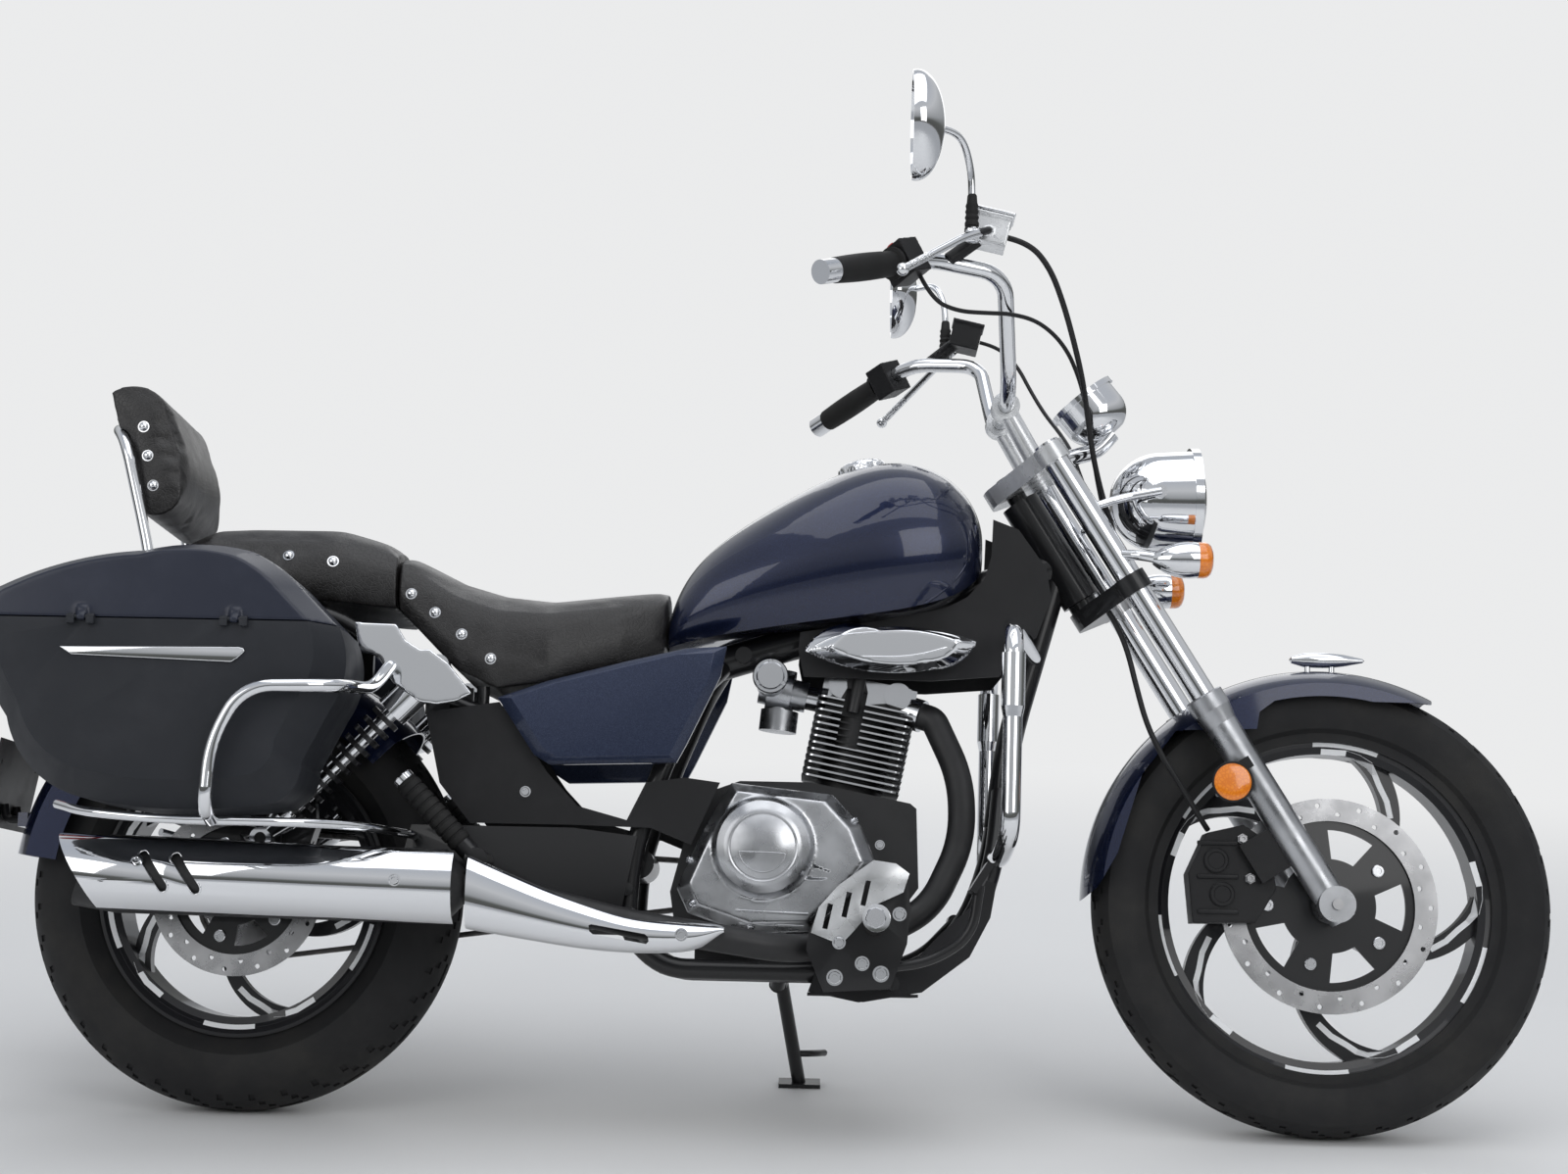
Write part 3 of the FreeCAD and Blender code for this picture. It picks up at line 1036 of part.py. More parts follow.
CASE = [(606, 318), (640, 452), (700, 474), (905, 474), (946, 440), (950, 330), (900, 262), (840, 240),
        (680, 240), (612, 280)]
crankcase = plate("crankcase_block", [(str(x), str(z)) for x, z in CASE], "2 * case_half", middle=True)
case_foot = block("case_foot", "260", "60", "44", (770, 0, 222))
case_ties = [rod(f"case_tie_{i}", "8", "2 * (cradle_half - cradle_radius - seat_gap)",
                 (x, -S.cradle_half + S.cradle_radius + S.seat_gap, 213), (0, 1, 0)) for i,
             x in enumerate((690, 880))]
CYLINDER = Placement(Vector(S.cylinder_x, 0, S.cylinder_z), Rotation(Vector(0, 1, 0), S.cylinder_tilt))
cylinder_room = block("cylinder_room", "300", "2 * case_half + 20", "100",
                      CYLINDER.multVec(Vector(0, 0, 44 - S.seat_gap)), CYLINDER.Rotation)
room_side = S.case_half - 5 - S.seat_gap
chain_room = [rod("chain_room_front", "38", "16", tuple(FRONT_CHAIN - Vector(0, S.chain_side - room_side,
                                                                             0)), (0, 1, 0)),
              block("chain_room_back", "115", "16", "94", (598, room_side + 8, 335))]
node("crankcase", without("crankcase_cut", fused("crankcase_parts", [crankcase, case_foot] + case_ties),
                          [cylinder_room] + chain_room))

COVER = [(617, 321), (651, 401), (689, 468), (829, 454), (869, 412), (890, 360), (870, 333), (805, 266),
         (713, 261), (633, 288)]
COVER_MIDDLE = (752, 366)


def cover_outline(share):
    return [(f"{COVER_MIDDLE[0]} + {share} * ({x - COVER_MIDDLE[0]})",
             f"{COVER_MIDDLE[1]} + {share} * ({z - COVER_MIDDLE[1]})")
            for x, z in COVER]


right_cover = loft("right_cover", "XZ_Plane", [
    ("case_half + seat_gap", cover_outline(1)), ("case_half + cover_thick - 22", cover_outline(1)),
    ("case_half + cover_thick", cover_outline(0.86))], True)
clutch_cover = turning("clutch_cover", [
    ("0", "0"), ("0", "clutch_radius + 4"), ("6", "clutch_radius + 4"), ("9", "clutch_radius"),
                                        ("20", "clutch_radius - 4"), ("26", "clutch_radius - 16"),
    ("26", "0")], at=along((S.clutch_x, -S.case_half - S.cover_thick + 4, S.clutch_z), (0, -1, 0)))
left_cover = loft("left_cover", "XZ_Plane", [
    ("-(case_half + seat_gap)", cover_outline(0.98)),
                                             ("-(case_half + cover_thick - 26)", cover_outline(0.98)),
    ("-(case_half + cover_thick - 8)", cover_outline(0.84))], True)
magneto_cover = turning("magneto_cover", [
    ("0", "0"), ("0", "clutch_radius"), ("10", "clutch_radius - 2"), ("18", "clutch_radius - 14"),
                                          ("18", "0")],
    at=along((S.clutch_x + 82, S.case_half + S.cover_thick - 14, S.clutch_z - 8), (0, 1, 0)))
left_closed = without("left_cover_cut", fused("left_cover_parts", [left_cover, magneto_cover]),
                      chain_room)
node("engine_covers", side_by_side("engine_cover_pair",
                                   [fused("right_cover_parts", [right_cover, clutch_cover]),
                                    left_closed]))

FINS = 10
HEAD_FINS = 3
barrel = rod("barrel", "barrel_radius", f"{FINS} * fin_pitch + 4 + 6", (0, 0, -6), (0, 0, 1))
cylinder_parts = [barrel]


def fin(name, height, thick):
    """One cooling fin with rounded corners."""
    x, y = "(fin_long / 2)", "(fin_wide / 2)"
    made = body(name)
    cut = 14
    pad(made, outline(made, "XY_Plane", [
        (f"{cut} - {x}", f"-{y}"), (f"{x} - {cut}", f"-{y}"), (f"{x} - 4", f"4 - {y}", "mid"),
                                         (x, f"{cut} - {y}"), (x, f"{y} - {cut}"),
        (f"{x} - 4", f"{y} - 4", "mid"), (f"{x} - {cut}", y), (f"{cut} - {x}", y),
                                         (f"4 - {x}", f"{y} - 4", "mid"), (f"-{x}", f"{y} - {cut}"),
        (f"-{x}", f"{cut} - {y}"), (f"4 - {x}", f"4 - {y}", "mid")], height), thick)
    return made


for i in range(FINS):
    cylinder_parts.append(fin(f"fin_{i}", f"4 + {i} * fin_pitch", "fin_thick"))
plug_room = block("plug_room", "30", "40", "84", (-17, -64.6, 95))
node("cylinder", without("cylinder_notched", fused("cylinder_fins", cylinder_parts), [plug_room]),
     CYLINDER)

head_foot = f"(4 + {FINS} * fin_pitch + seat_gap)"
head_parts = [block("head_core", "fin_long - 26", "fin_wide - 26", "head_tall + 12",
                    (0, 0, number(head_foot) + (S.head_tall + 12) / 2))]
for i in range(HEAD_FINS):
    head_parts.append(fin(f"head_fin_{i}", f"{head_foot} + {i} * fin_pitch", "fin_thick"))
head_parts.append(block("rocker_cover", "fin_long - 8", "fin_wide - 30", "22",
                        (0, 0, number(head_foot) + S.head_tall)))
for side in (-1, 1):
    head_parts.append(rod(f"rocker_cap_{side + 1}", "19", "10",
                          (side * 40, -S.fin_wide / 2 + 18, number(head_foot) + S.head_tall - 2),
                          (0, -1, 0)))
port_at = Vector(S.fin_long / 2 - 18, -30, number(head_foot) + 27)
port_way = Vector(0.92, -0.35, -0.14).normalize()
head_parts.append(rod("exhaust_port", "header_radius + 4", "30", port_at, port_way))
head_parts.append(rod("inlet_port", "17", "34", (-S.fin_long / 2 + 18, 0, number(head_foot) + 20),
                      (-1, 0, 0)))
plug_boss = rod("plug_boss", "7", "14", (-17, -43, 120), (0, -1, 0))
plug_cap = rod("plug_cap", "9", "50", (-17, -56, 104), (0, 0, 1))
plug_lead = rod("plug_lead", "4", "8", (-17, -56, 154), (0, 0, 1))
head_room = block("head_plug_room", "30", "40", "84", (-17, -64.6, 95))
node("cylinder_head", fused("cylinder_head_and_plug", [
    without("cylinder_head_notched", fused("cylinder_head_parts", head_parts), [head_room]), plug_boss,
                                                       plug_cap, plug_lead]), CYLINDER)

carb_at = CYLINDER.multVec(Vector(-S.fin_long / 2 - 16 - S.seat_gap, 0, number(head_foot) + 20))
carb_way = CYLINDER.Rotation.multVec(Vector(-1, 0, 0))
carb_parts = [
    rod("carb_throat", "22", "68", carb_at, carb_way),
    rod("carb_bell", "30", "34", tuple(carb_at + carb_way * 22), carb_way),
    rod("carb_slide", "19", "82", tuple(carb_at + carb_way * 42 + Vector(0, 0, -52)), (0.1, 0, 1)),
    rod("carb_bowl", "27", "30", tuple(carb_at + carb_way * 42 + Vector(0, 0, -58)), (0.1, 0, 1)),
    rod("carb_valve", "21", "92", tuple(carb_at + carb_way * 52 + Vector(0, 0, 8)), (0, -1, 0)),
]
node("carburettor", fused("carburettor_parts", carb_parts))

# The exhaust, all on the right

pipe_start = CYLINDER.multVec(port_at + port_way * (30 + S.seat_gap))
pipe_next = CYLINDER.multVec(port_at + port_way * 48)
side_y = -S.silencer_side
PIPE = [tuple(pipe_start), tuple(pipe_next), (1008, -66, 484), (1010, -72, 396), (966, -88, 302),
        (896, -104, 264), (826, -136, 246),
        (764, -180, 240), (680, side_y + 2, 252), (560, side_y, 268), (440, side_y, 297),
        (378, side_y, 311.5), (338, side_y, 312)]
node("exhaust_pipe", shaped("exhaust_pipe_shape", tube_shape(PIPE, S.header_radius)))

silencer = turning("silencer_body", [
    ("0", "0"), ("0", "header_radius + 4"), ("26", "silencer_radius"), ("470", "silencer_radius"),
                                     ("528", "silencer_radius - 8"),
    ("528", "silencer_radius - 22"), ("440", "silencer_radius - 22"), ("440", "0")],
    at=along((338 - S.seat_gap, side_y, 312), (-1, 0, 0.012)))
silencer_ear = block("silencer_ear", "40", "8", "34", (262, -150, 336))
ear_arm = rod("silencer_ear_arm", "8", "34", (262, -150, 336), (0, -1, 0))
slash = block("silencer_slash", "160", "200", "200", (-262, side_y, 312), Rotation(Vector(0, 1, 0), 26))
node("silencer", without("silencer_slashed", fused("silencer_parts", [silencer, silencer_ear, ear_arm]),
                         [slash]))

SHIELD = [(-214, 376), (326, 357), (326, 262), (-150, 273)]


def shell(name, side_view, axis_from, axis_way, reach, slots):
    """A chrome shield: a thin arc of tube over the pipe, trimmed to its side view and slotted."""
    outer = Part.makeCylinder(reach + S.shield_thick, 1200, axis_from, axis_way)
    inner = Part.makeCylinder(reach, 1200, axis_from, axis_way)
    trim = Part.Face(Part.makePolygon([Vector(x, -S.silencer_side - 100, z) for x,
                                       z in side_view + side_view[:1]]))
    trim = trim.extrude(Vector(0, 100 + 6, 0))
    made = outer.cut(inner).common(trim)
    for x, z, long, tall, tilt in slots:
        slot = Part.makeBox(long - tall, 200, tall, Vector(-(long - tall) / 2, 0, -tall / 2))
        for end in (-1, 1):
            slot = slot.fuse(Part.makeCylinder(tall / 2, 200, Vector(end * (long - tall) / 2, 0, 0),
                                               Vector(0, 1, 0)))
        slot.Placement = Placement(Vector(x, -S.silencer_side - 150, z), Rotation(Vector(0, 1, 0), tilt))
        made = made.cut(slot)
    return made


reach = S.silencer_radius + S.shield_gap
main_shield = shell("main_shield", SHIELD, Vector(400, side_y, 311), Vector(-1, 0, 0.012), reach,
                    [(-72, 322, 62, 13, 55), (-28, 320, 62, 13, 55)])
FRONT_SHIELD = [(342, 353), (370, 340), (450, 309), (556, 275), (684, 268), (688, 259), (652, 233),
                (531, 230), (342, 258)]
front_plate = Part.Face(Part.makePolygon([Vector(x, side_y - 22, z) for x,
                                          z in FRONT_SHIELD + FRONT_SHIELD[:1]]))
front_shield = front_plate.extrude(Vector(0, -6, 0))
slot = Part.makeBox(58, 40, 13, Vector(530, side_y - 40, 246))
front_shield = front_shield.cut(slot)
shield_studs = [Part.makeCylinder(6, S.shield_gap + 1,
                                  Vector(x, side_y - S.silencer_radius - S.seat_gap, 312),
                                  Vector(0, -1, 0)) for x in (-140, 250)]
front_stud = Part.makeCylinder(8, 8, Vector(619, side_y - S.header_radius + 0.55, 260), Vector(0, -1, 0))
node("exhaust_shields", shaped("exhaust_shield_shapes", Part.makeCompound([
    main_shield.fuse(shield_studs), front_shield.fuse(front_stud)])))

# Footrests and levers

PLATE = [(886, 360), (928, 343), (934, 300), (930, 250), (908, 190), (820, 184), (796, 240), (799, 262),
         (811, 291)]
plate_right = plate("peg_plate_blank", [(str(x), str(z)) for x, z in PLATE], "6", offset="peg_plate")
HEEL = [(802, 262), (842, 247), (856, 262), (868, 276), (886, 300), (924, 318), (932, 343), (914, 356),
        (884, 360), (838, 326), (812, 296)]
heel_guard = plate("heel_guard", [(str(x), str(z)) for x, z in HEEL], "4", offset="peg_plate + 6")
plate_slots = [block(f"plate_slot_{i}", "7", "40", "34", (824 + i * 25, -S.peg_plate - 3, 284 + i * 16),
                     Rotation(Vector(0, 1, 0), 12)) for i in range(3)]
peg = rod("peg_bar", "peg_radius", "100", (886, -S.peg_plate - 6, 274), (0, -1, 0.05))
peg_end = rod("peg_end", "peg_radius + 4", "8", (886, -S.peg_plate - 106, 279), (0, -1, 0.05))
plate_cut = without("plate_with_slots", fused("plate_and_guard", [plate_right, heel_guard]), plate_slots)
rider_side = fused("footrest_parts", [plate_cut, peg, peg_end])

brake_pedal = shaped("brake_pedal_arm", tube_shape([(868, -S.peg_plate + 8, 214),
                                                    (960, -S.peg_plate + 8, 226),
                                                    (1016, -S.peg_plate + 4, 262),
                                                    (1026, -S.peg_plate, 330)], 7))
pedal_hub = rod("pedal_hub", "12", "9", (868, -S.peg_plate + 9 + S.seat_gap, 214), (0, -1, 0))
pedal_pad = block("pedal_pad", "44", "56", "10", (1026, -S.peg_plate - 14, 338),
                  Rotation(Vector(0, 1, 0), -58))
gear_lever = shaped("gear_lever_arm", tube_shape([(790, S.peg_plate - 8, 330),
                                                  (868, S.peg_plate - 8, 222),
                                                  (960, S.peg_plate - 8, 236), (1020, S.peg_plate, 300)],
                                                 7))
gear_hub = rod("gear_hub", "12", "9", (868, S.peg_plate - 9 - S.seat_gap, 222), (0, 1, 0))
toe_peg = rod("toe_peg", "9", "50", (1016, S.peg_plate - 4, 296), (0, 1, 0))
pedal_parts = fused("brake_pedal_parts", [brake_pedal, pedal_hub, pedal_pad])
lever_parts = fused("gear_lever_parts", [gear_lever, gear_hub, toe_peg])
node("foot_levers", side_by_side("foot_lever_pair", [pedal_parts, lever_parts]))

HANGER = [(538, 262), (562, 390), (474, 400), (250, 400), (238, 352), (240, 318), (300, 318), (450, 262)]
hang_plate = plate("passenger_plate", [(str(x), str(z)) for x, z in HANGER], "5",
                   offset="arm_half + arm_radius + 4")
hang_side = -S.arm_half - S.arm_radius - 4
stowed_peg = rod("stowed_peg", "peg_radius", "150", (348, -S.peg_plate + 10, 352), (-104, -8, 108))
peg_knuckle = rod("peg_knuckle", "16", "peg_plate - arm_half - arm_radius", (350, hang_side, 350),
                  (0, -1, 0))
hang_boss = rod("hang_boss", "9", "arm_half + arm_radius + 4 - cradle_half - cradle_radius - seat_gap",
                (549, hang_side, 318), (0, 1, 0))
ear_boss = rod("ear_boss", "9", "18 - seat_gap", (262, hang_side, 336), (0, -1, 0))
passenger_side = fused("passenger_parts", [hang_plate, stowed_peg, peg_knuckle, hang_boss, ear_boss])
node("footrests", side_by_side("footrest_pieces", [rider_side, mirrored("rider_side_left", rider_side),
                                                   passenger_side,
                                                   mirrored("passenger_side_left", passenger_side)]))

BELLY_OUT = [(800, 186), (874, 172), (954, 187), (1018, 236), (1046, 290), (1054, 336), (1040, 340),
             (1028, 312), (980, 268), (940, 226), (813, 222)]
belly_side = plate("belly_side", [(str(x), str(z)) for x, z in BELLY_OUT], "5",
                   offset="cradle_half + cradle_radius + seat_gap")
belly_floor = block("belly_floor", "150", "2 * (cradle_half + cradle_radius + 4)", "4", (874, 0, 182))
arm_rooms = [rod(f"peg_arm_room_{x}", "9 + seat_gap", "300", (x, -150, 198), (0, 1, 0))
             for x in (836, 912)]
belly_pan = without("belly_pan_cut", fused("belly_parts",
                                           [belly_side, mirrored("belly_side_left", belly_side),
                                            belly_floor]), arm_rooms)

down_top = Vector(*near_head(-10, -34))
down_x = 1078 + (664 - 540) / (down_top.z - 540) * (down_top.x - 1078)
GUARD = [(down_x, -6, 664), (1070, -150, 690), (1068, -S.guard_side, 662), (1064, -S.guard_side, 398),
         (1057, -150, 370), (1056, -63, 374)]
guard_bar = shaped("guard_bar", tube_shape(GUARD, S.guard_radius, 0.35))
guard_saddles = [shaped("guard_saddle_low", tube_shape(cradle, S.cradle_radius + S.seat_gap)),
                 shaped("guard_saddle_top", tube_shape(down_path, S.downtube_radius + S.seat_gap))]
guard_cap = turning("guard_cap", [("0", "0"), ("0", "guard_radius + 3"), ("72", "guard_radius + 3"),
                                  ("96", "guard_radius - 2"), ("96", "0")],
                    at=along((1067.6, -S.guard_side, 640), (-4, 0, -264)))
node("engine_guard", both_sides("engine_guard_pair",
                                without("guard_cut", fused("guard_parts", [guard_bar, guard_cap]),
                                        guard_saddles)))


# Tank and bodywork

TANK = [  # ahead of the rear axle, top, underside, share of the greatest half width
    (594, 712, 664, 0.42),
    (640, 800, 674, 0.68),
    (730, 870, 688, 0.89),
    (860, 937, 706, 1.00),
    (975, 931, 732, 0.89),
    (1036, 852, 784, 0.42),
]


def tank_outline(top, low, share):
    half, tall = f"tank_half * {share}", top - low
    return [
        (f"-0.80 * {half}", str(low)), (f"-{half}", str(low + 0.36 * tall), "mid"),
            (f"-0.86 * {half}", str(low + 0.70 * tall)),
        ("0", str(top), "mid"), (f"0.86 * {half}", str(low + 0.70 * tall)),
            (half, str(low + 0.36 * tall), "mid"),
        (f"0.80 * {half}", str(low))]


tank_body = loft("tank_body", "YZ_Plane", [(str(x), tank_outline(top, low, share)) for x, top, low,
                                           share in TANK])
back_way = Vector(*near_head(-4, -22)) - Vector(640, 0, 640)
tunnel_turn = Rotation(Vector(1, 0, 0), back_way)
tunnel = block("tank_tunnel", "760", "2 * (backbone_radius + tunnel_gap)", "300",
               Vector(640, 0, 640) + back_way * 0.45 + tunnel_turn.multVec(Vector(0, 0,
                   S.backbone_radius + S.tunnel_gap - 150)), tunnel_turn)
CAP_AT = Vector(868, 0, 926)
cap_way = Vector(-0.20, 0, 0.98).normalize()
cap_seat = rod("cap_seat", "cap_radius + seat_gap", "60", CAP_AT, cap_way)
node("fuel_tank", without("fuel_tank_cut", tank_body, [tunnel, cap_seat]))
cap = turning("tank_cap", [("seat_gap", "0"), ("seat_gap", "cap_radius"), ("14", "cap_radius"),
                           ("20", "cap_radius - 5"), ("24", "cap_radius * 0.5", "mid"),
                           ("26", "0")], at=along(tuple(CAP_AT), tuple(cap_way)))
TEARDROP = [(785, 655), (800, 676, "mid"), (880, 690), (960, 690, "mid"), (1028, 672), (1010, 648, "mid"),
            (965, 632), (860, 630, "mid")]
TEAR_MIDDLE = (925, 662)


def tear_outline(share):
    return [(str(TEAR_MIDDLE[0] + share * (c[0] - TEAR_MIDDLE[0])),
             str(TEAR_MIDDLE[1] + share * (c[1] - TEAR_MIDDLE[1]))) + c[2:] for c in TEARDROP]


teardrop = loft("teardrop", "XZ_Plane", [("tear_side", tear_outline(0.93)),
                                         ("tear_side + 8", tear_outline(1)),
                                         ("tear_side + 30", tear_outline(0.72))], True)
tear_boss = [rod(f"tear_boss_{i}", "8", "tear_side - shroud_half - panel_thick - seat_gap",
                 (x, -S.shroud_half - S.panel_thick - S.seat_gap, 662), (0, -1, 0))
             for i, x in enumerate((860, 980))]
tear_right = fused("teardrop_parts", [teardrop] + tear_boss)

SHROUD = [(778, 660), (780, 686), (900, 706), (984, 724), (1014, 740), (1038, 766), (1048, 800),
          (1050, 852), (1086, 838), (1125, 783), (1132, 741),
          (1112, 685), (1092, 668), (1060, 628), (964, 620), (786, 623)]
guard_passage = shaped("guard_passage", tube_shape(GUARD[:4], S.guard_radius + 2, 0.35))
shroud_right = without("shroud_cut", plate("shroud_right", [(str(x), str(z)) for x, z in SHROUD],
                                           "panel_thick", offset="shroud_half"), [guard_passage])
INNER = [(264, 556), (366, 572), (436, 475), (479, 430), (547, 412), (572, 464), (626, 472), (674, 466),
         (636, 380), (580, 402), (470, 404), (331, 404), (287, 458)]
inner_right = plate("inner_right", [(str(x), str(z)) for x, z in INNER], "panel_thick",
                    offset="inner_side")
inner_boss = rod("inner_boss", "8", "inner_side - rail_half - rail_radius - seat_gap",
                 (338, -S.rail_half - S.rail_radius - S.seat_gap, 558), (0, -1, 0))
inner_parts = fused("inner_parts", [inner_right, inner_boss])
node("black_panels", side_by_side("black_panel_pairs", [
    shroud_right, mirrored("shroud_left", shroud_right), inner_parts, mirrored("inner_left", inner_parts),
                                                        belly_pan,
    chain_guard]))

SIDE_COVER = [(365, 576), (435, 601), (543, 630), (623, 649), (680, 653), (672, 612), (627, 516),
              (614, 491), (439, 485), (418, 498)]
SIDE_MIDDLE = (535, 565)


def side_outline(share):
    return [(str(SIDE_MIDDLE[0] + share * (x - SIDE_MIDDLE[0])),
             str(SIDE_MIDDLE[1] + share * (z - SIDE_MIDDLE[1]))) for x, z in SIDE_COVER]


side_right = loft("side_right", "XZ_Plane", [
    ("cover_side", side_outline(1)), ("cover_side + 14", side_outline(1)),
                                             ("cover_side + 24", side_outline(0.88))], True)
side_boss = rod("side_boss", "8", "cover_side - rail_half - rail_radius - seat_gap",
                (394, -S.rail_half - S.rail_radius - S.seat_gap, 556), (0, -1, 0))
node("side_covers", both_sides("side_cover_pair", fused("side_cover_parts", [side_right, side_boss])))

STRUT = [(168, 673), (226, 671), (240, 649), (262, 636), (272, 638), (300, 618), (334, 577), (312, 566),
         (286, 561), (262, 564), (224, 590),
         (202, 627), (176, 632)]
strut_right = plate("strut_right", [(str(x), str(z)) for x, z in STRUT], "6", offset="strut_side")
strut_boss = rod("strut_boss", "8", "strut_side - rail_half - rail_radius",
                 (206, -S.rail_half - S.rail_radius - S.seat_gap, 646), (0, -1, 0))
fender_strut = fused("strut_parts", [strut_right, strut_boss])
node("chrome_trim", side_by_side("chrome_trim_pieces", [
    cap, tear_right, mirrored("teardrop_left", tear_right), fender_strut,
                                                        mirrored("fender_strut_left", fender_strut)]))

rear_out = "(rear_tyre_radius + rear_fender_gap + wall)"
rear_skirt = "(rear_tyre_radius - 50)"
rear_section = body("rear_fender_section")
turned(rear_section, outline(rear_section, "YZ_Plane", [
    ("-rear_fender_half", rear_skirt), ("-rear_fender_half", f"{rear_out} - 34"), ("0", rear_out, "mid"),
    ("rear_fender_half", f"{rear_out} - 34"), ("rear_fender_half", rear_skirt),
                                                        ("rear_fender_half - wall", rear_skirt),
    ("rear_fender_half - wall", f"{rear_out} - 34 - wall * 0.6"), ("0", f"{rear_out} - wall", "mid"),
    ("wall - rear_fender_half", f"{rear_out} - 34 - wall * 0.6"),
                                                        ("wall - rear_fender_half", rear_skirt)]), 128)
rear_section.Placement = Placement(Vector(0, 0, S.rear_tyre_radius), Rotation(Vector(0, 1, 0), -82))
lamp_pad = rod("lamp_pad", "30", "46", (-222, 0, 562), (-1, 0, 0))
plate_pad = block("plate_pad", "14", "80", "20", (-322, 0, 402))
node("rear_fender", fused("rear_fender_parts", [rear_section, lamp_pad, plate_pad]))

tail = turning("tail_lamp", [
    ("0", "0"), ("0", "44"), ("12", "50"), ("30", "50"), ("34", "46"), ("52", "38", "mid"), ("60", "0")],
    at=along((-268 - S.seat_gap, 0, 562), (-1, 0, 0)))
rear_blinker = turning("rear_blinker", [
    ("0", "0"), ("0", "7"), ("blinker_length * 0.4", "blinker_radius - 3", "mid"),
                                        ("blinker_length - 6", "blinker_radius"),
    ("blinker_length + 8", "blinker_radius - 6", "mid"), ("blinker_length + 16", "0")],
                       at=along((-222, -132, 562), (-1, 0, 0)))
blinker_rod = rod("rear_blinker_rod", "7", "100", (-254, -30 - S.seat_gap, 562), (0, -1, 0))
rear_blinker_side = fused("rear_blinker_parts", [rear_blinker, blinker_rod])
node("rear_lamps", side_by_side("rear_lamp_pieces",
                                [tail, rear_blinker_side,
                                 mirrored("rear_blinker_left", rear_blinker_side)]))

PLATE_TURN = Rotation(Vector(0, 1, 0), 10)
PLATE_AT = Vector(-352, 0, 452)
tag_blank = block("tag_blank", "3", "190", "124", PLATE_AT, PLATE_TURN)
tag_arms = [shaped(f"tag_arm_{side + 1}", tube_shape([(-329 - S.seat_gap, side * 26, 402),
                                                      (-350, side * 26, 402), (-354, side * 26, 424)], 6))
            for side in (-1, 1)]
tag_holes = [rod(f"tag_hole_{side + 1}", "plate_hole", "40",
                 PLATE_AT + PLATE_TURN.multVec(Vector(-20, side * S.plate_pitch / 2, 30)),
                 PLATE_TURN.multVec(Vector(1, 0, 0))) for side in (-1, 1)]
node("plate_bracket", without("plate_bracket_bored", fused("tag_parts", [tag_blank] + tag_arms),
                              tag_holes))

# Seats and backrest: plain closed forms that the upholstery follows

PASSENGER_SEAT = [(-108, 806, SEAT_LINE, 104), (-60, 828, SEAT_LINE, 114), (120, 828, SEAT_LINE, 118),
                  (212, 802, 704, 112)]
RIDER_SEAT = [(215, 794, 703, 116), (300, 752, 618, 132), (360, 735, 590, 140), (430, 728, 600, 142),
              (530, 741, 632, 108), (590, 750, 656, 72)]


def seat_form(name, stations):
    made = []
    for x, top, low, half in stations:
        half, tall = f"(seat_half * {half / 142:.4f})", top - low
        made.append((str(x), [
            (f"-0.93 * {half}", str(low)), (f"-{half}", str(low + 0.45 * tall), "mid"),
                              (f"-0.9 * {half}", str(low + 0.78 * tall)),
            ("0", str(top), "mid"), (f"0.9 * {half}", str(low + 0.78 * tall)),
                              (half, str(low + 0.45 * tall), "mid"), (f"0.93 * {half}", str(low))]))
    return loft(name, "YZ_Plane", made, True)


node("passenger_seat", seat_form("passenger_seat_form", PASSENGER_SEAT))
node("rider_seat", seat_form("rider_seat_form", RIDER_SEAT))

REST = [(-211, 1010), (-172, 1022, "mid"), (-133, 1004), (-108, 938), (-98, 890, "mid"), (-100, 852),
        (-124, 832, "mid"), (-157, 834), (-187, 922)]
rest_form = plate("backrest_form", [(str(c[0]), str(c[1])) + c[2:] for c in REST], "2 * backrest_half",
                  middle=True)
bar_y = -(S.rail_half + S.rail_radius + S.sissy_radius + S.seat_gap)
SISSY = [(-118, bar_y, 676), (-138, bar_y, 780), (-180, bar_y, 935), (-208, -80, 966), (-208, 80, 966),
         (-180, -bar_y, 935), (-138, -bar_y, 780), (-118, -bar_y, 676)]
sissy_bar = shaped("sissy_bar", tube_shape(SISSY, S.sissy_radius))
node("backrest", without("backrest_cut", rest_form,
                         [shaped("sissy_room", tube_shape(SISSY, S.sissy_radius + S.seat_gap))]))

# Luggage: two moulded cases whose lids hinge on their outer edge

CASE_SIDE = [(178, 642), (189, 588, "mid"), (171, 533), (136, 462), (126, 428, "mid"), (104, 410),
             (-20, 399, "mid"), (-150, 412), (-215, 446, "mid"),
             (-255, 516), (-290, 584, "mid"), (-302, 642)]
LID_SIDE = [(-302, 642), (-300, 668, "mid"), (-277, 687), (-180, 724, "mid"), (-84, 739), (0, 748, "mid"),
            (60, 739), (100, 716, "mid"), (128, 690), (176, 642)]
BAG_MIDDLE = -60
SEAM = 642


def bag_outline(side, share, lift, squeeze=1.0):
    return [(str(BAG_MIDDLE + share * (c[0] - BAG_MIDDLE)),
             f"bag_seam + {lift} + {share * squeeze} * ({c[1] - SEAM})") + c[2:] for c in side]


